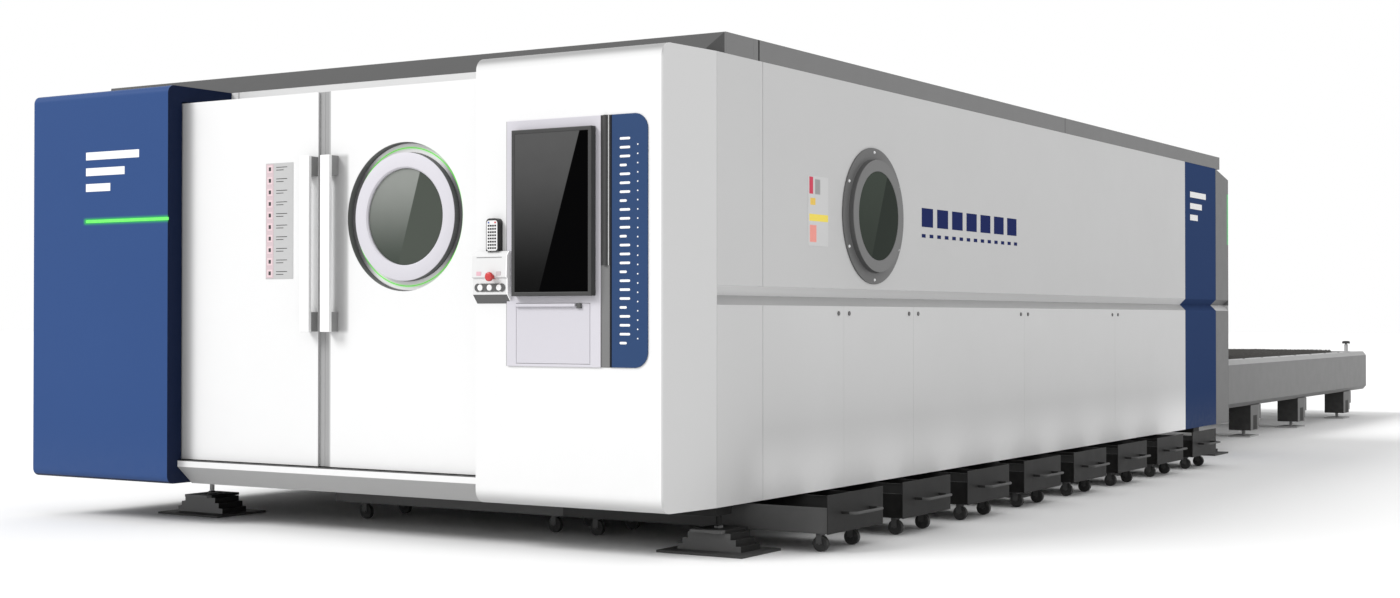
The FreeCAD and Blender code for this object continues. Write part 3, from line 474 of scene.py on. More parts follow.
@dataclass(frozen=True)
class HaloPaint(PowderCoat):
    """Powder paint with the green gleam of a light bar painted on it."""
    gleam: Colour = (0.05, 0.5, 0.06)
    bar_x: Span = (0.0, 1.0)
    bar_z: float = 0.0
    core: float = 0.004
    reach: float = 0.028
    falloff: float = 1.6
    share: float = 0.75
    front_y: float = 0.0

    def tone(self, tree: ShaderTree, base: Value) -> Value:
        """Lays the zones and the painted gleam over the base colour.

        Args:
            tree: the material's tree.
            base: the plain colour.

        Returns:
            The colour with all that lies on it.
        """
        base = super().tone(tree, base)
        away = (tree.z - self.bar_z).size()
        start, end = self.bar_x
        along = tree.x.between((start - self.reach, start), (end, end + self.reach))
        near = (1 - away.ramp(self.core, self.reach)).power(self.falloff)
        front = 1 - tree.y.ramp(self.front_y + 0.001, self.front_y + 0.003)
        return tree.mix(near * along * front * self.share, base, self.gleam)


@dataclass(frozen=True)
class RecessPaint(PowderCoat):
    """Door paint with painted shade on the window recess's wall and the light ring's green gleam
    painted on it.
    """
    gleam: Colour = (0.5, 0.82, 0.45)
    centre: Span = (0.0, 0.0)
    ring: float = 0.336
    face_y: float = 0.0
    gleam_reach: Span = (0.001, 0.013)
    gleam_share: float = 0.7
    shadow: Colour = (0.07, 0.068, 0.072)
    shadow_share: float = 0.85
    wall: Span = (0.3585, 0.366)
    rim: float = 0.0
    flank_shade: float = 0.0

    def tone(self, tree: ShaderTree, base: Value) -> Value:
        """Lays zones, painted shade on the recess wall and the painted gleam over the base colour.

        Args:
            tree: the material's tree.
            base: the plain colour.

        Returns:
            The colour with all that lies on it.
        """
        base = super().tone(tree, base)
        east, up = tree.x - self.centre[0], tree.z - self.centre[1]
        radius = (east * east + up * up).power(0.5)
        inside = tree.y.ramp(self.face_y + 0.001, self.face_y + 0.003)
        start, end = self.wall
        wall_shade = inside * radius.ramp(start, start + 0.001)
        wall_shade = wall_shade * (1 - radius.ramp(end, end + 0.001))
        base = tree.mix(wall_shade * self.shadow_share, base, self.shadow)
        near = (1 - (radius - self.ring).size().ramp(*self.gleam_reach)) * inside
        base = tree.mix(near * (1 - wall_shade) * self.gleam_share, base, self.gleam)
        # Painted shade towards the left and right sides, by distance across from the middle.
        side = east / self.ring
        base = tree.mix(side.size().ramp(0.5, 0.88) * self.flank_shade, base, self.shadow)
        # A painted green gleam on the rim of the recess wall, on its right side.
        edge = radius.ramp(start - 0.001, start) * (1 - inside)
        edge = edge * (1 - radius.ramp(start + 0.001, end))
        return tree.mix(edge * side.ramp(0.1, 0.7) * self.rim, base, self.gleam)


@dataclass(frozen=True)
class MachinedSteel(Finish):
    """Ground or drawn steel with fine marks along one axis."""
    colour: Colour = (0.5, 0.5, 0.51)
    roughness: float = 0.32
    metallic: float = 0.9
    grain: Triple = (1.0, 0.02, 1.0)
    mark: float = 0.0012

    def dress(self, tree: ShaderTree) -> None:
        """Fills the material's tree.

        Args:
            tree: the material's empty tree.
        """
        marks = tree.noise(self.mark, 2.0, self.grain)
        patch = tree.noise(0.09, 4.0)
        worn = tree.mix(patch * 0.35, self.colour, scaled(self.colour, 0.55))
        base = tree.mix(marks * 0.25, worn, scaled(self.colour, 1.5))
        rough = (marks - 0.5) * 0.25 + patch * 0.12 + (self.roughness - 0.06)
        tree.surface(base, rough, tree.bump(marks, 0.00012, 0.5), Metallic=self.metallic)


@dataclass(frozen=True)
class BurntSteel(Finish):
    """Flame-cut support steel: mill scale below, heat tint and bright spatter near the tips."""
    colour: Colour = (0.05, 0.05, 0.052)
    scale: Colour = (0.1, 0.096, 0.09)
    tint: Colour = (0.11, 0.105, 0.1)
    spatter: Colour = (0.3, 0.285, 0.265)
    tips: Span = (0.0, 1.0)

    def dress(self, tree: ShaderTree) -> None:
        """Fills the material's tree.

        Args:
            tree: the material's empty tree.
        """
        scale = tree.noise(0.018, 5.0)
        heat = tree.z.ramp(*self.tips)
        base = tree.mix(scale, self.colour, self.scale)
        base = tree.mix(heat * 0.7, base, self.tint)
        spatter = tree.noise(0.004, 3.0).ramp(0.6, 0.75) * heat
        base = tree.mix(spatter, base, self.spatter)
        tree.surface(base, 0.75 - spatter * 0.25, tree.bump(scale, 0.0008, 0.6),
                     Metallic=heat * 0.35 + 0.45)


@dataclass(frozen=True)
class MouldedPlastic(Finish):
    """Injection-moulded plastic with a spark-eroded grain."""
    colour: Colour = (0.02, 0.02, 0.022)
    roughness: float = 0.48
    specular: float = 0.5
    grain: float = 0.0011

    def dress(self, tree: ShaderTree) -> None:
        """Fills the material's tree.

        Args:
            tree: the material's empty tree.
        """
        cells = tree.noise(self.grain, 2.0)
        cloud = tree.noise(0.06, 2.0)
        base = tree.mix(cloud * 0.6, self.colour, scaled(self.colour, 1.25, 0.003))
        tree.surface(base, (cells - 0.5) * 0.12 + self.roughness,
                     tree.bump(cells, 0.00008, 0.35), Specular_IOR_Level=self.specular)


@dataclass(frozen=True)
class GlossPlastic(Finish):
    """Polished coloured plastic, a little paler where fingers rub it."""
    colour: Colour = (0.6, 0.6, 0.6)
    roughness: float = 0.2

    def dress(self, tree: ShaderTree) -> None:
        """Fills the material's tree.

        Args:
            tree: the material's empty tree.
        """
        rub = tree.noise(0.012, 3.0)
        base = tree.mix(rub * 0.5, self.colour, scaled(self.colour, 1.15, 0.01))
        tree.surface(base, rub * 0.15 + self.roughness, tree.bump(rub, 0.00005, 0.3),
                     Coat_Weight=0.3, Coat_Roughness=0.08)


@dataclass(frozen=True)
class Rubber(Finish):
    """Tyre rubber with floor dust in its grain."""
    colour: Colour = (0.018, 0.018, 0.018)
    dust: Colour = (0.09, 0.085, 0.08)

    def dress(self, tree: ShaderTree) -> None:
        """Fills the material's tree.

        Args:
            tree: the material's empty tree.
        """
        grain = tree.noise(0.002, 3.0)
        dust = tree.noise(0.02, 3.0).ramp(0.45, 0.8)
        base = tree.mix(dust * 0.35, self.colour, self.dust)
        tree.surface(base, grain * 0.2 + 0.6, tree.bump(grain, 0.0002, 0.5))


@dataclass(frozen=True)
class LitDiffuser(Finish):
    """A lit light guide: even green with a slightly paler core."""
    colour: Colour = (0.09, 0.8, 0.085)
    core: Colour = (0.2, 0.92, 0.17)
    strength: float = 1.0
    unlit: Colour = (0.02, 0.2, 0.02)

    def dress(self, tree: ShaderTree) -> None:
        """Fills the material's tree.

        Args:
            tree: the material's empty tree.
        """
        glow = tree.mix(tree.noise(0.03, 1.0), self.colour, self.core)
        tree.surface(self.unlit, 0.35, tree.bump(tree.noise(0.002, 1.0), 0.00005, 0.2),
                     Emission_Color=glow, Emission_Strength=self.strength)


@dataclass(frozen=True)
class SplitGlass(Finish):
    """Tinted glass with a painted reflection of a pale room up to one steep slanted edge.

    The edge runs from (edge_top, top) to (edge_foot, foot), with across and height measured
    along the pane. Left of it the painted reflection fades downwards.
    """
    dark: Colour = (0.02, 0.025, 0.02)
    pale: Colour = (0.2, 0.21, 0.2)
    fade: Colour = (0.06, 0.07, 0.06)
    top: float = 1.0
    foot: float = 0.0
    edge_top: float = 0.0
    edge_foot: float = 0.0
    along_y: bool = False
    roughness: float = 0.06
    specular: float = 0.5

    def dress(self, tree: ShaderTree) -> None:
        """Fills the material's tree.

        Args:
            tree: the material's empty tree.
        """
        across = tree.y if self.along_y else tree.x
        slope = (self.edge_top - self.edge_foot) / (self.top - self.foot)
        edge = (tree.z - self.foot) * slope + self.edge_foot
        left = 1 - (across - edge).ramp(-0.002, 0.002)
        mirrored = tree.mix(tree.z.ramp(self.foot, self.top), self.fade, self.pale)
        reflection_mottle = tree.noise(0.08, 3.0) * 0.12
        base = tree.mix(left, self.dark, mirrored)
        base = tree.mix(reflection_mottle * left, base, self.dark)
        tree.surface(base, tree.noise(0.05, 2.0) * 0.05 + self.roughness,
                     tree.bump(tree.noise(0.3, 1.0), 0.0002, 0.1),
                     Specular_IOR_Level=self.specular)


# --- meshes
def break_edges(mesh: Mesh, size: float, rows: int = 2) -> None:
    """Breaks a mesh's sharp outer edges, with flat narrow faces along them.

    Args:
        mesh: closed mesh whose flat faces are whole.
        size: width of the broken edge.
        rows: faces across each broken edge.
    """
    for face in mesh.faces:
        face.smooth = True
    sharp = [e for e in mesh.edges if e.is_manifold and e.calc_face_angle(0.0) > SHARP_ANGLE]
    for edge in sharp:
        edge.smooth = False
    outer = [e for e in sharp if e.is_convex and e.calc_length() > 2.5 * size]
    if not outer or size <= 0:
        return
    made = bmesh.ops.bevel(mesh, geom=outer, offset=size, offset_type="OFFSET", segments=rows,
                           profile=0.6, affect="EDGES", clamp_overlap=True)
    for face in made["faces"]:
        for edge in face.edges:
            edge.smooth = False


def placed(name: str, mesh: Mesh, finish: Finish) -> Piece:
    """Turns a finished mesh into an object at the origin.

    Args:
        name: the object's name.
        mesh: mesh with its place in it, which is freed.
        finish: its finish.

    Returns:
        The object.
    """
    data = bpy.data.meshes.new(name)
    mesh.to_mesh(data)
    mesh.free()
    data.materials.append(finish.material())
    made = bpy.data.objects.new(name, data)
    bpy.context.scene.collection.objects.link(made)
    return made


def circle(sides: int) -> list[Span]:
    """Cosine and sine of each of the equal steps round a circle."""
    angles = [2 * math.pi * i / sides for i in range(sides)]
    return [(math.cos(a), math.sin(a)) for a in angles]


def bridge(part: Mesh, first: Sequence, second: Sequence) -> None:
    """Closes the band between two rings of points, of which one may be a single point.

    Args:
        part: mesh of the rings.
        first, second: the rings' points in order.
    """
    count = max(len(first), len(second))
    for i in range(count):
        j = (i + 1) % count
        corners = [first[i % len(first)], first[j % len(first)],
                   second[j % len(second)], second[i % len(second)]]
        part.faces.new(list(dict.fromkeys(corners)))


class Solid:
    """Collects plain solids in one mesh, each with its own broken edges."""

    def __init__(self) -> None:
        """Starts empty."""
        self.mesh = bmesh.new()

    def take(self, part: Mesh) -> "Solid":
        """Adds a finished solid and frees it.

        Args:
            part: its closed mesh.

        Returns:
            This collection.
        """
        bmesh.ops.recalc_face_normals(part, faces=part.faces)
        copy = bpy.data.meshes.new("part")
        part.to_mesh(copy)
        part.free()
        self.mesh.from_mesh(copy)
        bpy.data.meshes.remove(copy)
        return self

    def box(self, low: Point, high: Point, edge: float = 0.0, rows: int = 2) -> "Solid":
        """Adds a box with broken edges between two corners."""
        outline = [(low[0], low[1]), (high[0], low[1]), (high[0], high[1]), (low[0], high[1])]
        return self.prism(outline, Axis.Z, (low[2], high[2]), edge, rows)

    def prism(self, outline: Outline, axis: Axis, span: Span, edge: float = 0.0,
              rows: int = 2) -> "Solid":
        """Adds an outline drawn out along an axis.

        Args:
            outline: points in the plane across the axis, in the order of the axes left.
            axis: direction of the draw.
            span: its two ends.
            edge: width of the broken edges.
            rows: faces across each broken edge.

        Returns:
            This collection.
        """
        part = bmesh.new()
        ends = [[part.verts.new(axis.place(a, b, end)) for a, b in outline] for end in span]
        part.faces.new(ends[0])
        part.faces.new(list(reversed(ends[1])))
        for i, start in enumerate(ends[0]):
            j = (i + 1) % len(outline)
            part.faces.new((start, ends[1][i], ends[1][j], ends[0][j]))
        bmesh.ops.recalc_face_normals(part, faces=part.faces)
        break_edges(part, edge, rows)
        return self.take(part)

    def turned(self, profile: Outline, axis: Axis, centre: Point, sides: int) -> "Solid":
        """Adds a profile turned about an axis.

        Args:
            profile: (radius, height) points; a radius of 0 closes an end at its pole.
            axis: axis of the turn; heights run along it.
            centre: point of the axis at height 0.
            sides: faces round the turn.

        Returns:
            This collection.
        """
        part = bmesh.new()
        rings = []
        for radius, height in profile:
            round_trip = circle(sides) if radius > 0 else [(0.0, 0.0)]
            places = [axis.place(radius * a, radius * b, height) for a, b in round_trip]
            rings.append([part.verts.new(Vector(centre) + place) for place in places])
        closing = [rings[0]] if len(rings[0]) > 1 else []
        for first, second in zip(rings, rings[1:] + closing):
            bridge(part, first, second)
        bmesh.ops.recalc_face_normals(part, faces=part.faces)
        break_edges(part, 0.0)
        return self.take(part)

    def tube(self, path: Sequence[Point], radius: float, sides: int = 12) -> "Solid":
        """Adds a round bar along a path with closed ends.

        Args:
            path: points of its middle line, none of whose runs is upright.
            radius: its radius.
            sides: faces round it.

        Returns:
            This collection.
        """
        part = bmesh.new()
        points = [Vector(p) for p in path]
        rings = []
        for i, point in enumerate(points):
            ahead = points[min(i + 1, len(points) - 1)] - points[max(i - 1, 0)]
            ahead.normalize()
            across = ahead.cross(Vector((0, 0, 1))).normalized()
            up = across.cross(ahead).normalized()
            rings.append([part.verts.new(point + radius * (across * a + up * b))
                          for a, b in circle(sides)])
        for first, second in zip(rings, rings[1:]):
            bridge(part, first, second)
        part.faces.new(rings[0])
        part.faces.new(list(reversed(rings[-1])))
        bmesh.ops.recalc_face_normals(part, faces=part.faces)
        break_edges(part, 0.0)
        return self.take(part)

    def piece(self, name: str, finish: Finish) -> Piece:
        """The collection as an object."""
        return placed(name, self.mesh, finish)


def rounded(width: float, height: float, radius: float, steps: int, centre: Span) -> list[Span]:
    """Outline of a rounded rectangle.

    Args:
        width, height: its sides.
        radius: radius of its corners.
        steps: facets of each corner.
        centre: its middle.

    Returns:
        The outline's points.
    """
    points = []
    for corner, (east, north) in enumerate(((1, 1), (-1, 1), (-1, -1), (1, -1))):
        for i in range(steps + 1):
            angle = math.radians(90 * (corner + i / steps))
            points.append((centre[0] + east * (width / 2 - radius) + radius * math.cos(angle),
                           centre[1] + north * (height / 2 - radius) + radius * math.sin(angle)))
    return points


def dress(node: str, finish: Finish, slot: str, edge: float, body: str = BODY,
          name: str = "") -> None:
    """Puts a copy with broken edges and smooth rounds in the place of a node's solid.

    Args:
        node: node to copy, which stays as it is.
        finish: the copy's finish.
        slot: material slot that the finish belongs to.
        edge: width of its broken edges.
        body: body that carries it.
        name: its name, where that isn't the node's with _skin.
    """
    part = bmesh.new()
    part.from_mesh(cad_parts[node].data)
    bmesh.ops.remove_doubles(part, verts=part.verts, dist=1e-5)
    bmesh.ops.dissolve_limit(part, angle_limit=FLAT_ANGLE, verts=part.verts, edges=part.edges)
    break_edges(part, edge)
    space = Space.of(node)
    for vert in part.verts:
        vert.co = [min(max(c, a), b) for c, a, b in zip(vert.co, space.low, space.high)]
    fit(placed(name or node + "_skin", part, finish), slot, node, body=body)


# --- geometry trees
class GeometryTree(Tree):
    """A Geometry Nodes tree with named inputs."""

    SOCKETS = {int: "NodeSocketInt", float: "NodeSocketFloat", tuple: "NodeSocketVector"}

    def __init__(self, name: str, **inputs: "int | float | tuple") -> None:
        """Makes a tree.

        Args:
            name: the tree's name.
            inputs: the value of each named input.
        """
        group = bpy.data.node_groups.new(name, "GeometryNodeTree")
        group.is_modifier = True
        super().__init__(group)
        self.values: dict[str, object] = {}
        for key, value in inputs.items():
            made = group.interface.new_socket(key, in_out="INPUT",
                                              socket_type=self.SOCKETS[type(value)])
            self.values[made.identifier] = value
        made = group.interface.new_socket("Finish", in_out="INPUT",
                                          socket_type="NodeSocketMaterial")
        self.finish_key = made.identifier
        group.interface.new_socket("Geometry", in_out="OUTPUT",
                                   socket_type="NodeSocketGeometry")
        self.entry = self.node("NodeGroupInput")

    def given(self, *keys: str) -> "Value | list[Value]":
        """The named input, or a list of several."""
        values = [Value(self, self.entry.outputs[key]) for key in keys]
        return values if len(keys) > 1 else values[0]

    def vector(self, x: Operand, y: Operand, z: Operand) -> Value:
        """A vector of three numbers."""
        return self.value("ShaderNodeCombineXYZ", None, {0: x, 1: y, 2: z})

    def line(self, count: Operand, start: Operand, step: Operand) -> Value:
        """A row of points."""
        return self.value("GeometryNodeMeshLine", {"mode": "OFFSET"},
                          {"Count": count, "Start Location": start, "Offset": step})

    def joined(self, *parts: Value) -> Value:
        """Several geometries in one.

        Args:
            parts: the geometries.

        Returns:
            The whole.
        """
        made = self.node("GeometryNodeJoinGeometry")
        for part in parts:
            self.nodes.links.new(part.socket, made.inputs[0])
        return Value(self, made.outputs[0])

    def moved(self, part: Value, **how: Operand) -> Value:
        """A geometry moved, turned or scaled by Translation, Rotation or Scale."""
        return self.value("GeometryNodeTransform", None, {"Geometry": part, **how})

    def raised(self, part: Value, height: Operand) -> Value:
        """A geometry moved up."""
        return self.moved(part, Translation=self.vector(0.0, 0.0, height))

    def copies(self, points: Value, part: Value, turn: Operand = (0.0, 0.0, 0.0)) -> Value:
        """A part set on every point, turned by the same angles."""
        euler = self.value("FunctionNodeEulerToRotation", None, {0: turn})
        return self.value("GeometryNodeInstanceOnPoints", None,
                          {"Points": points, "Instance": part, "Rotation": euler})

    def plain(self, part: Value) -> Value:
        """Instances made real."""
        return self.value("GeometryNodeRealizeInstances", None, {0: part})

    def cylinder(self, radius: Operand, depth: Operand, sides: Operand) -> Value:
        """A round bar about Z, centred at the origin."""
        return self.value("GeometryNodeMeshCylinder", None,
                          {"Radius": radius, "Depth": depth, "Vertices": sides})

    def cone(self, foot: Operand, top: Operand, depth: Operand, sides: Operand) -> Value:
        """A cut cone that stands on the origin."""
        return self.value("GeometryNodeMeshCone", None, {"Radius Bottom": foot, "Radius Top": top,
                                                         "Depth": depth, "Vertices": sides})

    def block(self, size: Operand) -> Value:
        """A box centred at the origin."""
        return self.value("GeometryNodeMeshCube", None, {"Size": size})

    def position(self) -> list[Value]:
        """The three coordinates of each point."""
        return self.split(self.value("GeometryNodeInputPosition"))

    def reshaped(self, part: Value, place: Value) -> Value:
        """A geometry with its points set to new places."""
        return self.value("GeometryNodeSetPosition", None, {"Geometry": part, "Position": place})

    def piece(self, name: str, finish: Finish, part: Value) -> Piece:
        """Ends the tree and turns what it makes into a plain mesh.

        Args:
            name: the object's name.
            finish: its finish.
            part: the geometry that the tree ends in.

        Returns:
            The object, with no modifier left.
        """
        dressed = self.value("GeometryNodeSetMaterial", None,
                             {"Geometry": self.plain(part), "Material": self.given("Finish")})
        self.node("NodeGroupOutput", None, {0: dressed})
        made = bpy.data.objects.new(name, bpy.data.meshes.new(name + "_seed"))
        bpy.context.scene.collection.objects.link(made)
        modifier = made.modifiers.new(name, "NODES")
        modifier.node_group = self.nodes
        for key, value in self.values.items():
            modifier[key] = value
        modifier[self.finish_key] = finish.material()
        graph = bpy.context.evaluated_depsgraph_get()
        mesh = bpy.data.meshes.new_from_object(made.evaluated_get(graph))
        made.modifiers.clear()
        made.data = mesh
        mesh.name = name
        mesh.set_sharp_from_angle(angle=SHARP_ANGLE)
        return made


class Facing(Enum):
    """Angles that turn a part that stands on Z so that it stands on another side."""
    UP = (0.0, 0.0, 0.0)
    FRONT = (math.pi / 2, 0.0, 0.0)
    BACK = (-math.pi / 2, 0.0, 0.0)
    RIGHT = (0.0, math.pi / 2, 0.0)


@dataclass
class Fixtures:
    """A rectangular pattern of small equal parts on a flat side."""
    start: Point
    across: Point = (0.0, 0.0, 0.0)
    across_count: int = 1
    along: Point = (0.0, 0.0, 0.0)
    along_count: int = 1
    facing: Facing = Facing.UP

    def _tree(self, name: str, **inputs: "int | float | tuple") -> GeometryTree:
        """A tree with this pattern's inputs and the part's own."""
        return GeometryTree(name, Start=tuple(self.start), Across=tuple(self.across),
                            AcrossCount=self.across_count, Along=tuple(self.along),
                            AlongCount=self.along_count, Turn=self.facing.value, **inputs)

    @staticmethod
    def _spread(tree: GeometryTree, part: Value) -> Value:
        """The part on every place of the pattern.

        Args:
            tree: the pattern's tree.
            part: the part at the origin.

        Returns:
            The parts.
        """
        row = tree.line(tree.given("AcrossCount"), (0.0, 0.0, 0.0), tree.given("Across"))
        rows = tree.line(*tree.given("AlongCount", "Start", "Along"))
        return tree.copies(tree.plain(tree.copies(rows, row)), part, tree.given("Turn"))

    def screws(self, name: str, finish: Finish, radius: float, height: float,
               sides: int = 12) -> Piece:
        """Screw heads: a short round head with a coned rim and a sunk hexagon.

        Args:
            name: the piece's name.
            finish: its finish.
            radius: radius of a head.
            height: height of a head.
            sides: faces round a head.

        Returns:
            The piece.
        """
        tree = self._tree(name, Radius=radius, Height=height, Sides=sides)
        size, tall, count = tree.given("Radius", "Height", "Sides")
        head = tree.raised(tree.cylinder(size, tall * 0.7, count), tall * 0.35)
        rim = tree.raised(tree.cone(size, size * 0.78, tall * 0.3, count), tall * 0.7)
        key = tree.raised(tree.cylinder(size * 0.42, tall * 0.1, 6), tall * 0.99)
        return tree.piece(name, finish, self._spread(tree, tree.joined(head, rim, key)))

    def keys(self, name: str, finish: Finish, size: Triple,
             taper: float = 0.82) -> Piece:
        """Key caps: blocks that narrow towards their tops.

        Args:
            name: the piece's name.
            finish: its finish.
            size: width, depth and height of a cap.
            taper: width of a cap's top against its foot.

        Returns:
            The piece.
        """
        tree = self._tree(name, Size=size, Taper=taper)
        cube = tree.block(tree.given("Size"))
        x, y, z = tree.position()
        narrow = 1 - z.above(0.0) * (1 - tree.given("Taper"))
        cap = tree.reshaped(cube, tree.vector(x * narrow, y * narrow, z))
        return tree.piece(name, finish, self._spread(tree, cap))


def screw_ring(name: str, finish: Finish, centre: Point, reach: float, count: int,
               radius: float, height: float) -> Piece:
    """Countersunk screws on a circle that faces right.

    Args:
        name: the piece's name.
        finish: its finish.
        centre: middle of the circle.
        reach: its radius.
        count: number of screws.
        radius, height: size of a head.

    Returns:
        The piece.
    """
    tree = GeometryTree(name, Centre=tuple(centre), Circle=reach, Count=count, Radius=radius,
                        Height=height)
    ring = tree.value("GeometryNodeMeshCircle", None,
                      {"Vertices": tree.given("Count"), "Radius": tree.given("Circle")})
    turned = tree.moved(ring, Rotation=Facing.RIGHT.value, Translation=tree.given("Centre"))
    size, tall = tree.given("Radius", "Height")
    head = tree.cone(size, size * 0.7, tall, 16)
    drive = tree.raised(tree.cylinder(size * 0.32, tall * 0.3, 6), tall)
    return tree.piece(name, finish, tree.copies(turned, tree.joined(head, drive),
                                                Facing.RIGHT.value))


# --- the machine's own places
ORIGIN = Vector((Space.of("left_cover").low.x, Space.of("console_pillar").low.y, 0.0))
WHITE = shade(214)
WALL = shade(191)
MARK_WHITE = Ink("printed_white", shade(225), dust_share=0.0)


def at(x: float, y: float, z: float) -> Vector:
    """A place measured from the left wall, the pillar's front and the floor."""
    return ORIGIN + Vector((x, y, z))


@dataclass
class Panelwork:
    """The sheet-metal walls: grey side panels, their groove and the white inner front."""
    edge: float = 0.0022
    seam_edge: float = 0.0006
    crease_drop: float = 0.0445
    knob_radius: float = 0.0115
    knob_height: float = 0.006
    knob_spread: float = 0.059
    knob_z: float = 1.105
    knob_seams: tuple[float, ...] = (1.66, 2.50, 4.13, 5.83)
    plate_y: Span = (1.273, 1.487)
    plate_z: Span = (1.441, 1.79)
    plate_depth: float = 0.0012
    bars_y: float = 2.61
    bar_rows: tuple[tuple[float, ...], ...] = ((7, 0.207, 0.15, 1.59, 1.695),
                                               (14, 0.104, 0.05, 1.53, 1.55))
    fields: tuple[tuple, ...] = (
        (paint(200, 60, 85), (1.285, 1.325), (1.70, 1.785), 0.001),
        (paint(236, 214, 90), (1.285, 1.485), (1.565, 1.6), 0.001),
        (paint(226, 190, 90), (1.295, 1.35), (1.645, 1.68), 0.001),
        (paint(232, 150, 140), (1.29, 1.36), (1.46, 1.545), 0.002),
        (shade(150), (1.345, 1.4), (1.70, 1.775), 0.004),
    )

    def build(self) -> None:
        """Dresses the walls and sets their locks and printed fields."""
        grey = PowderCoat("wall_grey", WALL)
        wall = Space.of("right_lower_panels")
        front, foot = wall.low.y, wall.low.z
        # Painted shade darkens the front of the lower panels and painted light lifts their foot,
        # where the trolleys shade it; their grey is also a lighter copy of the wall grey, painted
        # light against the shade near the floor.
        painted_light_and_shade = (Zone(shade(195), y=(front - 2.0, front + 0.7), soft=0.5),
                 Zone(shade(240), y=(front + 0.38, front + 20.0), z=(-1.0, foot + 0.19),
                      soft=0.16))
        low = PowderCoat("lower_wall_grey", shade(201), zones=painted_light_and_shade)
        groove = Space.of("wall_groove_strips")
        crease = groove.high.z - self.crease_drop
        # Painted shade on the groove's lower, upward-facing face and painted light on its upper
        # face.
        painted_shade_halves = (Zone(shade(164), z=(groove.low.z - OVER, crease)),
                  Zone(shade(209), z=(crease, groove.high.z + OVER)))
        trim = CleanCoat("groove_grey", WALL, zones=painted_shade_halves)
        for node, finish, edge in (("left_wall_panels", grey, self.edge),
                                   ("right_upper_wall", grey, self.edge),
                                   ("right_lower_panels", low, self.seam_edge),
                                   ("wall_groove_strips", trim, 0.0)):
            dress(node, finish, "wall_paint", edge)
        # A darker copy of the white paint: painted shade on the inner front, seen in the recess
        # above the doors.
        dress("front_wall_panels", PowderCoat("inner_front_white", shade(201)), "white_paint",
              self.edge)
        self.gaskets(wall, low)
        self.knobs(wall)
        self.printed_fields()

    def gaskets(self, wall: Space, finish: Finish) -> None:
        """The strips that fill the seams between the lower panels.

        Args:
            wall: box of the lower panels.
            finish: their finish.
        """
        half, sunk, proud, short = 0.0019, 0.0055, 0.0007, 0.001
        strips = Solid()
        for seam in self.knob_seams:
            low = Vector((wall.high.x - sunk, ORIGIN.y + seam - half, wall.low.z + short))
            strips.box(low, (wall.high.x - proud, low.y + 2 * half, wall.high.z - short))
        fit(strips.piece("panel_gaskets", finish), "wall_paint")

    def knobs(self, wall: Space) -> None:
        """The pairs of quarter-turn locks beside the lower panels' seams.

        Args:
            wall: box of the lower panels.
        """
        dark = MouldedPlastic("lock_plastic", shade(88), roughness=0.4)
        for number, seam in enumerate(self.knob_seams, 1):
            place = at(0.0, seam - self.knob_spread, self.knob_z)
            place.x = wall.high.x
            knobs = Fixtures(place, (0.0, 2 * self.knob_spread, 0.0), 2, facing=Facing.RIGHT)
            fit(knobs.screws(f"panel_locks_{number}", dark, self.knob_radius,
                             self.knob_height, 20), "dark_plastic")

    def printed_fields(self) -> None:
        """A plain row of bars on the side and a small plate with fields of colour."""
        x = Space.of("right_upper_wall").high.x - ORIGIN.x
        bars = Solid()
        for count, pitch, width, low, high in self.bar_rows:
            for i in range(count):
                start = self.bars_y + i * pitch
                bars.box(at(x, start, low), at(x + FILM, start + width, high))
        navy = Ink("printed_navy", paint(40, 48, 92), specular=0.0, dust_share=0.0)
        fit(bars.piece("side_stripe_bars", navy), "blue_paint")
        zones = tuple(Zone(colour, y=(start + ORIGIN.y, end + ORIGIN.y), z=z, soft=soft)
                      for colour, (start, end), z, soft in self.fields)
        (y0, y1), (z0, z1) = self.plate_y, self.plate_z
        card = Solid().box(at(x, y0, z0), at(x + self.plate_depth, y1, z1), 0.0003, 1)
        fit(card.piece("side_plate", Ink("side_plate_print", shade(199), zones=zones)),
            "white_plastic")


@dataclass
class Roof:
    """The grey roof with its sloping rim."""
    edge: float = 0.003
    rim: float = 0.16
    front_slope: float = 0.079
    seams: tuple[tuple[float, float, int], ...] = ((0.776, 0.789, 6), (4.85, 4.857, 50))

    def build(self) -> None:
        """Dresses the roof."""
        roof = Space.of("roof_panels")
        # Painted shade on the sloping front of the roof.
        zones = [Zone(shade(78), y=roof.first(Axis.Y, self.front_slope))]
        zones += [Zone(shade(level), x=roof.last(Axis.X, self.rim),
                       y=(ORIGIN.y + start, ORIGIN.y + end)) for start, end, level in self.seams]
        grey = PowderCoat("roof_grey", shade(119), roughness=0.5, zones=tuple(zones))
        dress("roof_panels", grey, "roof_paint", self.edge)


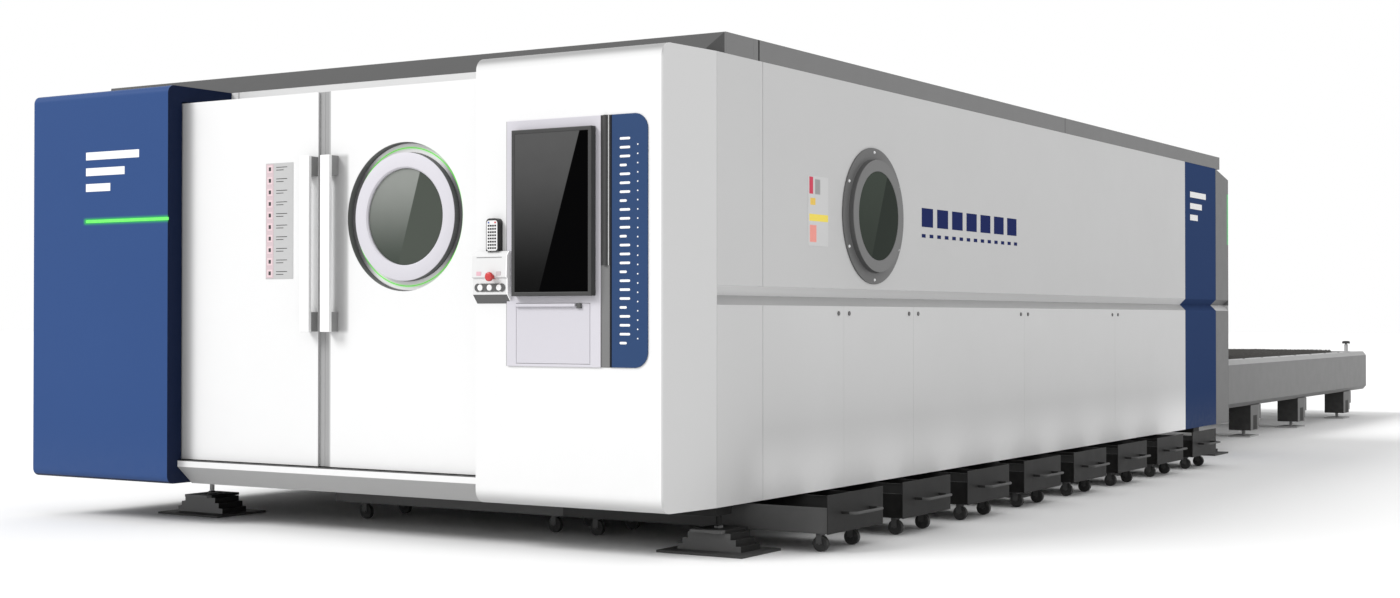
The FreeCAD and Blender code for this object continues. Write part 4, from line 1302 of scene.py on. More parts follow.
@dataclass
class LeftCover:
    """The blue cover at the left of the front, with its light bar."""
    edge: float = 0.003
    stripes: tuple[float, ...] = (0.41, 0.30, 0.19)
    stripe_start: float = 0.42
    stripe_z: float = 1.93
    stripe_pitch: float = 0.085
    stripe_height: float = 0.042

    def build(self) -> None:
        """Dresses the cover and its light bar."""
        cover, bar = Space.of("left_cover"), Space.of("cover_light_bar")
        # Painted shade along the cover's bottom edge and on its right side; the light bar's green
        # gleam is painted on it too.
        zones = (Zone((0.008, 0.016, 0.048), z=cover.first(Axis.Z, 0.012)),
                 Zone((0.006, 0.012, 0.037), x=cover.last(Axis.X, 0.0016)))
        blue = HaloPaint("cover_blue", (0.027, 0.063, 0.18), zones=zones, specular=0.06,
                         front_y=cover.low.y, dust_share=0.02, bar_x=(bar.low.x, bar.high.x),
                         bar_z=bar.centre.z)
        dress("left_cover", blue, "blue_paint", self.edge)
        half = bar.size.z / 2
        outline = [(bar.high.x, bar.centre.z - half), (bar.high.x, bar.centre.z + half)]
        for i in range(13):
            angle = math.radians(90 + 15 * i)
            outline.append((bar.low.x + half + half * math.cos(angle),
                            bar.centre.z + half * math.sin(angle)))
        lens = Solid().prism(outline, Axis.Y, (bar.low.y, bar.high.y), 0.001, 1)
        fit(lens.piece("cover_light_lens", LitDiffuser("lit_green")), "green_light",
            "cover_light_bar")
        stripes = Solid()
        for row, length in enumerate(self.stripes):
            low = Vector((cover.low.x + self.stripe_start, cover.low.y - FILM,
                          self.stripe_z - self.stripe_pitch * row))
            stripes.box(low, low + Vector((length, FILM, self.stripe_height)))
        fit(stripes.piece("cover_stripes", MARK_WHITE), "white_paint")


@dataclass
class FrontDoors:
    """The two sliding doors with their seals, handles and the plate on the left one."""
    edge: float = 0.0025
    seal: float = 0.036
    grip_plate: float = 0.02
    grip_block: float = 0.1
    plate_x: Span = (1.643, 1.831)
    plate_z: Span = (1.279, 1.867)
    plate_rows: int = 10

    def build(self) -> None:
        """Dresses both doors."""
        left, right = Space.of("left_door"), Space.of("right_door")
        cover, pull = Space.of("left_cover"), Space.of("right_door_handle")
        grey = shade(147)
        # Painted shadow of the blue cover on the left door's left edge.
        cover_painted_shadow = Zone(shade(168), x=(left.low.x - 0.1, cover.high.x + 0.055), soft=0.05)
        white = PowderCoat("left_door_white", WHITE,
                           zones=(cover_painted_shadow, Zone(grey, x=left.last(Axis.X, self.seal))))
        # Painted shadow of the pull on the right door; the recess paint adds painted shade on the
        # window recess's wall, the light ring's painted gleam and a painted gleam on the rim.
        zones = (Zone(shade(165), x=(pull.low.x + 0.03, pull.high.x + 0.062),
                      y=right.first(Axis.Y, 0.01), z=(pull.low.z, pull.high.z), soft=0.014),
                 Zone(shade(166), x=(right.low.x, right.low.x + self.seal + 0.01)),
                 Zone(grey, x=right.first(Axis.X, self.seal)))
        ring = Space.of("door_window_ring")
        recess = RecessPaint("right_door_white", WHITE, zones=zones, rim=0.85,
                             centre=(ring.centre.x, ring.centre.z), face_y=right.low.y)
        for door, finish in (("left_door", white), ("right_door", recess)):
            dress(door, finish, "white_paint", self.edge, door)
        for door in ("left_door", "right_door"):
            self.handle(door)
        self.plate()

    def handle(self, door: str) -> None:
        """A door's pull: a flat grip plate on two end blocks.

        Args:
            door: body and node of the door.
        """
        node = door + "_handle"
        space = Space.of(node)
        low, high, back = space.low, space.high, space.low.y + self.grip_plate
        finish = CleanCoat("handle_white", shade(226), roughness=0.3,
                           zones=(Zone(shade(136), y=(back + 0.0006, high.y + OVER)),))
        pull = Solid().box(low, (high.x, back, high.z), 0.004, 3)
        inset = 0.0015
        for start, end in ((low.z, low.z + self.grip_block),
                           (high.z - self.grip_block, high.z)):
            pull.box((low.x + inset, back, start + inset), (high.x - inset, high.y, end - inset),
                     0.002)
        fit(pull.piece(node + "_pull", finish), "white_plastic", node, body=door)

    def plate(self) -> None:
        """The grey plate on the left door: rows of plain squares and short lines."""
        y = Space.of("left_door").low.y - ORIGIN.y
        (x0, x1), (z0, z1) = self.plate_x, self.plate_z
        card = Solid().box(at(x0, y - 0.0015, z0), at(x1, y, z1), 0.0004, 1)
        column = Solid().box(at(x0 + 0.004, y - 0.0021, z0 + 0.004),
                             at(x0 + 0.054, y - 0.0015, z1 - 0.004))
        pitch = (z1 - z0) / self.plate_rows
        first = at(x0 + 0.029, y - 0.0024, z0 + pitch / 2)
        squares, dots = (Fixtures(place, along=(0.0, 0.0, pitch), along_count=self.plate_rows,
                                  facing=Facing.FRONT)
                         for place in (first, first - Vector((0, 0.0006, 0))))
        lines = Solid()
        for row in range(self.plate_rows):
            middle = z0 + pitch * (row + 0.5)
            for step, length in ((0.006, 0.075), (-0.008, 0.05)):
                low = at(x0 + 0.072, y - 0.0019, middle + step)
                lines.box(low, low + Vector((length, 0.0004, 0.0035)))
        fields, dark = Ink("plate_fields", paint(208, 186, 190)), Ink("plate_ink", shade(66))
        pink = Ink("plate_pink", paint(190, 172, 176))
        for piece, slot in (
                (card.piece("door_plate", Ink("plate_grey", shade(175))), "white_plastic"),
                (column.piece("door_plate_column", pink), "white_plastic"),
                (squares.keys("door_plate_squares", fields, (0.036, 0.038, FILM), 0.96),
                 "white_plastic"),
                (dots.keys("door_plate_dots", dark, (0.017, 0.02, FILM), 0.9), "dark_plastic"),
                (lines.piece("door_plate_lines", dark), "dark_plastic")):
            fit(piece, slot, body="left_door")


@dataclass
class DoorWindow:
    """The round window of the right door: ring, light ring and tinted glass."""
    light_radius: float = 0.336
    light_width: float = 0.0045
    carrier: Span = (0.3125, 0.3575)
    carrier_rise: float = 0.004
    lip: float = 0.007
    lip_depth: float = 0.006
    sides: int = 128

    def build(self) -> None:
        """Makes the ring and its light and dresses the glass."""
        ring, glass = Space.of("door_window_ring"), Space.of("door_window_glass")
        outer, inner = ring.size.x / 2, glass.size.x / 2 + 0.0003
        middle = Vector((ring.centre.x, ring.low.y, ring.centre.z))
        depth = ring.size.y
        profile = [(inner, depth), (inner, self.lip_depth), (inner + self.lip, 0.0),
                   (outer - 0.003, 0.0), (outer - 0.0008, 0.0009), (outer, 0.003),
                   (outer, depth)]
        # Painted shade on the ring's outer side wall.
        white = RecessPaint("window_ring_white", paint(193, 191, 197), dust_share=0.0,
                            centre=(middle.x, middle.z), face_y=middle.y,
                            wall=(outer - 0.001, outer + 0.01))
        self.turned(profile, middle, "window_ring", white, "white_paint", "door_window_ring")
        self.light(Vector((middle.x, 0.0, middle.z)), ring.high.y)
        # The door glass carries a painted reflection.
        tint = SplitGlass("door_glass", dark=paint(66, 71, 65), pale=paint(132, 135, 131),
                          fade=paint(60, 66, 60), specular=0.1,
                          top=glass.high.z, foot=glass.low.z,
                          edge_top=glass.centre.x + 0.093, edge_foot=glass.centre.x - 0.05)
        half, thick, bevel = glass.size.x / 2, glass.size.y, 0.0008
        disc = [(0.0, 0.0), (half - bevel, 0.0), (half, bevel), (half, thick), (0.0, thick)]
        self.turned(disc, (glass.centre.x, glass.low.y, glass.centre.z), "door_glass_pane", tint,
                    "window_glass", "door_window_glass")

    def turned(self, profile: Outline, centre: Point, name: str, finish: Finish,
               *slots: str) -> None:
        """One round piece from its (radius, depth) points, with its slot and then its node."""
        made = Solid().turned(profile, Axis.Y, centre, self.sides)
        fit(made.piece(name, finish), *slots, body="right_door")

    def light(self, middle: Vector, floor: float) -> None:
        """The light ring on its white carrier in the recess.

        Args:
            middle: the window's axis.
            floor: the recess's floor in Y.
        """
        (inner, outer), top = self.carrier, floor - self.carrier_rise
        bevel = 0.002
        step = [(inner, floor), (inner, top + bevel), (inner + bevel, top),
                (outer - bevel, top), (outer, top + bevel), (outer, floor)]
        # Painted shade towards the carrier's left and right sides and the light ring's painted
        # gleam on it.
        white = RecessPaint("light_carrier_white", shade(226), centre=(middle.x, middle.z),
                            face_y=-100.0, wall=(1.0, 1.1), dust_share=0.0, flank_shade=0.9)
        self.turned(step, middle, "window_light_carrier", white, "white_plastic")
        near, far = (self.light_radius + side * self.light_width / 2 for side in (-1, 1))
        bead = [(near, top), (near, top - 0.0006), (near + 0.0006, top - 0.001),
                (far - 0.0006, top - 0.001), (far, top - 0.0006), (far, top)]
        lit = LitDiffuser("lit_green_ring", (0.1, 0.6, 0.03), (0.16, 0.72, 0.06), 0.9)
        self.turned(bead, middle, "window_light_ring", lit, "green_light")


@dataclass
class Sill:
    """The rail under the doors: a white strip over a slanted bevel, with painted shade on the
    bevel.
    """
    edge: float = 0.002
    strip: float = 0.0345
    seam: float = 0.0035

    def build(self) -> None:
        """Dresses the sill."""
        sill = Space.of("door_sill")
        # Painted shade on the bevel and a painted shadow line along the top, under the doors.
        zones = (Zone(shade(163), z=(0.0, sill.high.z - self.strip)),
                 Zone(shade(58), z=sill.last(Axis.Z, self.seam)))
        dress("door_sill", PowderCoat("sill_white", WHITE, zones=zones, dust_share=0.1),
              "white_paint", self.edge)


@dataclass
class Console:
    """The control console: pillar, panel, screen, grip, blue side panel and keyboard flap."""
    edge: float = 0.002
    channel: float = 0.05
    grip: float = 0.673
    bar_count: int = 24
    bar_x: Span = (0.052, 0.108)
    bar_height: float = 0.011
    bar_corner: float = 0.0054
    bar_shortening: float = 0.018
    bar_margin: float = 0.09
    dot_first: Point = (0.148, 0.0002, 0.13)
    dot_count: int = 22
    dot_radius: float = 0.0036
    dot_pitch: float = 0.041
    key_pitch: float = 0.0205
    key_size: Triple = (0.0165, 0.0165, 0.005)
    key_columns: int = 16
    key_rows: int = 7

    def build(self) -> None:
        """Dresses the console from the pillar outwards."""
        self.pillar()
        self.panel()
        self.side_panel()
        self.screen()
        self.flap()

    def pillar(self) -> None:
        """The white pillar, with painted shade towards its top and its foot and on its right side.
        """
        pillar = Space.of("console_pillar")
        front = pillar.first(Axis.Y, 0.08)
        zones = (Zone(shade(145), y=front, z=(pillar.high.z - 0.044, pillar.high.z + 0.1),
                      soft=0.03),
                 Zone(shade(186), y=front, z=(pillar.low.z - 0.1, pillar.low.z + 0.055),
                      soft=0.03),
                 Zone(shade(202), x=pillar.last(Axis.X, 0.0455),
                      y=(pillar.low.y + 0.003, pillar.high.y + OVER), soft=0.001))
        dress("console_pillar", PowderCoat("pillar_white", WHITE, zones=zones), "white_paint",
              0.004)

    def panel(self) -> None:
        """The pale panel, the dark channel beside it and the channel's grip."""
        panel = Space.of("console_panel")
        end, face, foot, top = panel.high.x, panel.high.y, panel.low.z, panel.high.z
        split = top - self.grip
        channel = (end - self.channel, end + OVER)
        # The channel and its grip are darker strips painted on the flat panel, darker above the
        # split.
        zones = (Zone(shade(112), x=channel), Zone(shade(66), x=channel, z=(split, top + OVER)))
        dress("console_panel", CleanCoat("console_pale", paint(189, 187, 193), zones=zones),
              "console_paint", self.edge)
        light = Solid().box((end - 0.0125, face - 0.0055, split),
                            (end - 0.007, face - 0.003, top - 0.001), 0.0008, 1)
        fit(light.piece("grip_trim", CleanCoat("trim_light", shade(186))), "console_paint")
        joint = Solid().box((end - 0.0035, face - 0.0036, foot), (end - 0.0002, face - 0.003, top))
        fit(joint.piece("console_joint", MouldedPlastic("joint_black", (0.006, 0.006, 0.008))),
            "dark_plastic")
        strip = Solid().box((panel.low.x - 0.008, face - 0.0012, foot), (panel.low.x, face, top))
        fit(strip.piece("console_edge_trim", CleanCoat("trim_grey", shade(150))),
            "console_paint")

    def side_panel(self) -> None:
        """The blue side panel with plain white bars and a column of dots."""
        side = Space.of("console_side_panel")
        joint = Zone((0.003, 0.005, 0.01), x=side.first(Axis.X, 0.01))
        dress("console_side_panel",
              CleanCoat("console_blue", (0.021, 0.049, 0.125), zones=(joint,)), "blue_paint",
              self.edge)
        bars = Solid()
        left, right = (side.low.x + x for x in self.bar_x)
        pitch = (side.size.z - 2 * self.bar_margin) / self.bar_count
        for i in range(self.bar_count):
            z = side.low.z + self.bar_margin + pitch * (i + 0.5)
            reach = right if i % 4 else right - self.bar_shortening
            outline = rounded(reach - left, self.bar_height, self.bar_corner, 3,
                              ((left + reach) / 2, z))
            bars.prism(outline, Axis.Y, (side.low.y - FILM, side.low.y))
        fit(bars.piece("side_panel_bars", MARK_WHITE), "white_paint")
        dots = Fixtures(side.low + Vector(self.dot_first), along=(0.0, 0.0, self.dot_pitch),
                        along_count=self.dot_count, facing=Facing.FRONT)
        fit(dots.screws("side_panel_dots", MARK_WHITE, self.dot_radius, FILM), "white_paint")

    def screen(self) -> None:
        """The touch screen in its dark housing."""
        dress("screen_housing",
              MouldedPlastic("screen_housing_dark", shade(62), roughness=0.36, specular=0.1),
              "dark_plastic", 0.0035)
        pane = Space.of("screen_glass")
        width = pane.size.x
        # The screen carries a painted reflection.
        black = SplitGlass("screen_black", dark=(0.0004, 0.0004, 0.0005), pale=shade(77),
                           fade=shade(16), top=pane.high.z, foot=pane.low.z,
                           edge_top=pane.low.x + 0.885 * width,
                           edge_foot=pane.low.x + 0.335 * width, roughness=0.1, specular=0.02)
        sheet = Solid().box(pane.low, pane.high, 0.0004, 1)
        fit(sheet.piece("screen_pane", black), "screen_glass", "screen_glass")

    def flap(self) -> None:
        """The keyboard flap, its latch and the keyboard behind it."""
        pale = CleanCoat("flap_pale", paint(186, 184, 190))
        dress("keyboard_flap", pale, "console_paint", 0.0015, "keyboard_flap")
        dress("flap_latch", MouldedPlastic("latch_dark", shade(66)), "dark_plastic", 0.0015,
              "flap_latch")
        dress("keyboard", MouldedPlastic("keyboard_dark", shade(46), roughness=0.55),
              "dark_plastic", 0.002, "keyboard_flap", "keyboard_case")
        board, pitch = Space.of("keyboard"), self.key_pitch
        first = Vector((board.centre.x - pitch * (self.key_columns - 1) / 2,
                        board.high.y + 0.0015, board.low.z + 0.035))
        back = Fixtures(first, (pitch, 0.0, 0.0), self.key_columns, (0.0, 0.0, pitch),
                        self.key_rows, Facing.BACK)
        caps = MouldedPlastic("key_cap_grey", shade(120), roughness=0.6)
        fit(back.keys("keyboard_keys", caps, self.key_size), "dark_plastic",
            body="keyboard_flap")


@dataclass
class OperatorBox:
    """The small box beside the console: labels, stop button, push buttons and the remote."""
    edge: float = 0.003
    bevel_top: float = 1.19
    label_size: Span = (0.027, 0.019)
    label_z: float = 1.287
    line_z: Span = (1.36, 1.3635)
    plate_height: float = 0.038
    plate_overhang: float = 0.0155
    button_hole: float = 0.0156
    facets: int = 48

    def build(self) -> None:
        """Dresses the box and its controls."""
        box, stop = Space.of("operator_box"), Space.of("emergency_stop")
        # Darker on the bevel under the box; painted light on its right side, which the gap beside
        # the screen housing shades.
        zones = (Zone(shade(98), z=(0.0, self.bevel_top - 0.0005)),
                 Zone(shade(255), x=box.last(Axis.X, 0.0035)))
        dress("operator_box", CleanCoat("operator_white", shade(204), zones=zones),
              "white_paint", self.edge)
        face = box.low.y + 0.0035
        low, high = self.line_z
        line = Solid().box((box.low.x + 0.026, face - 0.0006, low),
                           (box.high.x - 0.03, face + 0.002, high))
        fit(line.piece("operator_line", MouldedPlastic("box_line", shade(120))), "dark_plastic")
        for name, colour, offset in (("label_pink", paint(205, 165, 175), -0.08),
                                     ("label_pale", paint(186, 176, 178), 0.034)):
            outline = rounded(*self.label_size, 0.002, 2,
                              (stop.centre.x + offset, self.label_z))
            card = Solid().prism(outline, Axis.Y, (box.low.y - FILM, box.low.y + 0.003))
            fit(card.piece(name, Ink(name, colour)), "white_plastic")
        self.stop_button(stop)
        self.push_buttons()
        self.remote()

    def control(self, space: Space, profile: Outline, name: str, finish: Finish, slot: str,
                node: str) -> None:
        """A round control that faces the front.

        Args:
            space: the node's box.
            profile: (radius, depth) points of the control.
            name: name of the piece.
            finish: its finish.
            slot: its material slot.
            node: body and node that it stands for.
        """
        middle = (space.centre.x, space.low.y, space.centre.z)
        made = Solid().turned(profile, Axis.Y, middle, self.facets)
        fit(made.piece(name, finish), slot, node, body=node)

    def stop_button(self, space: Space) -> None:
        """The red mushroom head on its stem.

        Args:
            space: the button's box.
        """
        radius, deep, stem = space.size.x / 2, 0.016, 0.01
        profile = [(0.0, 0.0), (radius * 0.55, 0.0004), (radius * 0.82, 0.0022),
                   (radius * 0.96, 0.006), (radius, 0.0105), (radius * 0.97, deep - 0.001),
                   (radius * 0.9, deep), (stem, deep), (stem, space.size.y),
                   (0.0, space.size.y)]
        self.control(space, profile, "stop_head", GlossPlastic("stop_red", paint(176, 40, 40)),
                     "red_plastic", "emergency_stop")

    def push_buttons(self) -> None:
        """Three white push buttons in one dark plate."""
        nodes = ("start_button", "pause_button", "reset_button")
        spaces = [Space.of(n) for n in nodes]
        cap = GlossPlastic("button_white", shade(222))
        for node, space in zip(nodes, spaces):
            radius = space.size.x / 2
            profile = [(0.0, 0.0009), (radius * 0.55, 0.0006), (radius * 0.8, 0.0),
                       (radius * 0.93, 0.0006), (radius * 0.985, 0.0022), (radius, 0.004),
                       (radius, space.size.y), (0.0, space.size.y)]
            self.control(space, profile, node + "_cap", cap, "white_plastic", node)
        front = spaces[0].low.y + 0.008
        plate = holed_plate([(s.centre.x, s.centre.z) for s in spaces], self.plate_height / 2,
                            self.plate_overhang, self.button_hole, (front - 0.003, front),
                            self.facets)
        dark = MouldedPlastic("button_plate_dark", shade(74), roughness=0.42)
        fit(plate.piece("button_plate", dark), "dark_plastic")

    def remote(self) -> None:
        """The remote control: a dark case with a white keypad and rows of keys."""
        case = Space.of("remote_control")
        dress("remote_control", MouldedPlastic("remote_dark", shade(18), roughness=0.4),
              "dark_plastic", 0.003, name="remote_case")
        width, height = case.size.x - 0.008, case.size.z - 0.012
        outline = rounded(width, height, 0.012, 5,
                          (case.centre.x, case.low.z + height / 2 + 0.002))
        pad = Solid().prism(outline, Axis.Y, (case.low.y - 0.001, case.low.y + 0.001))
        fit(pad.piece("remote_keypad", Ink("keypad_white", shade(214), dust_share=0.0)),
            "white_plastic")
        pitch, rise, columns, rows = 0.0128, 0.0148, 4, 8
        first = Vector((case.centre.x - pitch * 1.5, case.low.y - 0.0018, case.low.z + 0.014))
        grid = Fixtures(first, (pitch, 0.0, 0.0), columns, (0.0, 0.0, rise), rows,
                        Facing.FRONT)
        grey = MouldedPlastic("remote_key_grey", shade(30), specular=0.1)
        fit(grid.keys("remote_keys", grey, (0.0094, 0.0084, 0.002)), "dark_plastic")
        top = first + Vector((0, 0, rise * rows))
        for name, colour, column in (("blue", paint(70, 90, 150), 0),
                                     ("red", paint(190, 40, 40), columns - 1)):
            key = Fixtures(top + Vector((pitch * column, 0, 0)), facing=Facing.FRONT)
            fit(key.keys("remote_key_" + name, GlossPlastic("remote_" + name, colour),
                         (0.009, 0.008, 0.0022)), "dark_plastic")


def holed_plate(centres: Sequence[Span], half: float, overhang: float, hole: float, span: Span,
                facets: int) -> Solid:
    """A capsule-shaped plate that faces the front, with one round hole at each centre.

    Args:
        centres: holes in X and Z, in a row along X.
        half: half of the plate's height, and the radius of its ends.
        overhang: distance of the ends' middles beyond the outer holes.
        hole: radius of the holes.
        span: its two faces in Y.
        facets: sides of a hole.

    Returns:
        The plate.
    """
    plate = Solid()
    reach = (centres[1][0] - centres[0][0]) / 2

    def rim(index: int, east: float, up: float) -> float:
        """Distance from a hole's middle to its part of the plate's rim.

        Args:
            index: number of the hole.
            east, up: direction from its middle.

        Returns:
            The distance.
        """
        side = reach / max(abs(east), 1e-9)
        if (east < 0 and index == 0) or (east > 0 and index == len(centres) - 1):
            bow = max(half ** 2 - (overhang * up) ** 2, 0.0)
            side = overhang * abs(east) + math.sqrt(bow)
        return min(side, half / max(abs(up), 1e-9))

    for index, (x, z) in enumerate(centres):
        part = bmesh.new()
        rings = []
        for y in span:
            for inner in (False, True):
                ring = []
                for east, up in circle(facets):
                    radius = hole if inner else rim(index, east, up)
                    ring.append(part.verts.new((x + radius * east, y, z + radius * up)))
                rings.append(ring)
        for first, second in ((0, 1), (1, 3), (3, 2), (2, 0)):
            bridge(part, rings[first], rings[second])
        plate.take(part)
    return plate


@dataclass
class SideWindow:
    """The round window of the right wall."""
    sides: int = 128
    screw_circle: float = 0.337
    screw_count: int = 6
    screw_radius: float = 0.0085
    screw_height: float = 0.004
    seat: float = 0.008
    ring: Span = (0.296, 0.303)
    ring_rise: float = 0.036

    def build(self) -> None:
        """Makes the flange, its screws and the glass."""
        flange, glass = Space.of("side_window_flange"), Space.of("side_window_glass")
        outer, inner = flange.size.y / 2, glass.size.y / 2 + 0.0003
        (face, base), nose, start = self.ring, self.ring_rise, flange.low.x
        profile = [(inner, 0.0), (outer, 0.0), (outer, 0.0065), (outer - 0.0015, self.seat),
                   (base, self.seat), (base - 0.003, 0.0105), (face + 0.0015, nose - 0.004),
                   (face, nose), (inner + 0.002, nose), (inner, nose - 0.002)]
        # Painted light on the flange's right part and on the ring's front face, painted shade on
        # the ring's flank.
        zones = (Zone(shade(110), y=(flange.centre.y + 0.1, flange.high.y + 1.0), soft=0.2),
                 *(Zone(shade(level), x=(start + depth, flange.high.x + OVER))
                   for depth, level in ((0.0095, 84), (nose - 0.0025, 113))))
        grey = PowderCoat("flange_grey", shade(101), roughness=0.38, zones=zones)
        made = Solid().turned(profile, Axis.X, (start, flange.centre.y, flange.centre.z),
                              self.sides)
        fit(made.piece("side_window_ring", grey), "white_paint", "side_window_flange")
        pale = MachinedSteel("screw_zinc", shade(236), roughness=0.35, metallic=0.25)
        centre = Vector((start + self.seat, flange.centre.y, flange.centre.z))
        fit(screw_ring("side_window_screws", pale, centre, self.screw_circle,
                       self.screw_count, self.screw_radius, self.screw_height), "rail_steel")
        # The side glass carries a painted reflection.
        tint = SplitGlass("side_glass", dark=paint(31, 39, 32), pale=paint(54, 62, 54),
                          fade=paint(44, 51, 44), top=glass.high.z, foot=glass.low.z,
                          edge_top=glass.centre.y + 0.11, edge_foot=glass.centre.y - 0.09,
                          along_y=True, specular=0.03)
        half, thick, bevel = glass.size.y / 2, start + nose - 0.0015 - glass.low.x, 0.0008
        disc = Solid().turned([(0.0, 0.0), (half, 0.0), (half, thick - bevel),
                               (half - bevel, thick), (0.0, thick)], Axis.X,
                              (glass.low.x, glass.centre.y, glass.centre.z), self.sides)
        fit(disc.piece("side_glass_pane", tint), "window_glass", "side_window_glass")


@dataclass
class RearBay:
    """The blue band, the grey end bay and its light strips."""
    edge: float = 0.0025
    bars: tuple[float, ...] = (0.42, 0.31, 0.2)
    bar_start: float = 0.13
    bar_z: float = 2.03
    bar_pitch: float = 0.09
    bar_height: float = 0.045
    groove_z: Span = (1.142, 1.1865)
    gleam: Colour = (0.08, 0.34, 0.14)
    gleam_reach: float = 0.02

    def build(self) -> None:
        """Dresses the rear of the cabinet."""
        dress("rear_band_panels", PowderCoat("band_blue", (0.031, 0.055, 0.135), specular=0.0),
              "blue_paint", self.edge, name="rear_band_skin")
        strip = Space.of("rear_light_strips")
        # Painted green gleam of the light strips on the bay beside them, and painted light on the
        # groove's lower face next to them.
        zones = []
        for x in (strip.low.x, strip.high.x):
            zones += [Zone(self.gleam, x=(x - self.gleam_reach, x + self.gleam_reach),
                           y=(strip.low.y - 2 * self.gleam_reach, strip.high.y + OVER),
                           z=(strip.low.z, strip.high.z), soft=0.006, strength=0.8),
                      Zone(shade(190), x=(x - 0.05, x + 0.05), z=self.groove_z)]
        grey = PowderCoat("bay_grey", shade(106), zones=tuple(zones))
        for node in ("rear_portal", "rear_wall_panels"):
            dress(node, grey, "table_paint", self.edge)
        dress("rear_light_strips",
              LitDiffuser("lit_green_rear", (0.12, 0.62, 0.22), (0.2, 0.75, 0.3)),
              "green_light", 0.001, name="rear_light_lenses")
        wall = Space.of("rear_band_panels")
        start = wall.low.y + self.bar_start
        bars = Solid()
        for row, length in enumerate(self.bars):
            z = self.bar_z - self.bar_pitch * row
            bars.box((wall.high.x - 0.0001, start, z),
                     (wall.high.x + FILM, start + length, z + self.bar_height))
        fit(bars.piece("band_stripes", MARK_WHITE), "white_paint")


@dataclass
class Feet:
    """The levelling feet under the bed."""
    plate_z: float = 0.0125
    pad_z: float = 0.1102
    post_z: float = 0.1698
    side_inset: float = 0.23
    nut_radius: float = 0.023
    nut_height: float = 0.013
    rows: tuple[Span, ...] = ((0.53, 0.36), (3.764, 0.19), (7.9, 0.36))

    def build(self) -> None:
        """Dresses the feet and adds their lock nuts."""
        fronts = [ORIGIN.y + y - depth / 4 for y, depth in self.rows]
        # Painted light on the front faces of the feet, more on the left feet than on the right.
        zones = (Zone(shade(64), z=(-0.01, self.plate_z)),
                 *(Zone(shade(level), x=(x, x + 9.0), y=(y - 0.05, y + 0.0025),
                        z=(self.plate_z, 0.4))
                   for y in fronts for x, level in ((-9.0, 124), (0.0, 90))),
                 Zone(shade(205), x=(-9.0, 0.0), z=(self.pad_z, self.post_z)))
        dark = PowderCoat("foot_dark", shade(30), roughness=0.5, zones=zones, dust_share=0.02)
        dress("levelling_feet", dark, "dark_paint", 0.0015)
        bed = Space.of("levelling_feet")
        left, right = bed.low.x + self.side_inset, bed.high.x - self.side_inset
        steel = MachinedSteel("nut_steel", shade(110), roughness=0.45)
        for number, (y, _) in enumerate(self.rows, 1):
            nuts = Fixtures(Vector((left, ORIGIN.y + y, self.pad_z)), (right - left, 0.0, 0.0), 2)
            fit(nuts.screws(f"foot_nuts_{number}", steel, self.nut_radius, self.nut_height, 6),
                "rail_steel")


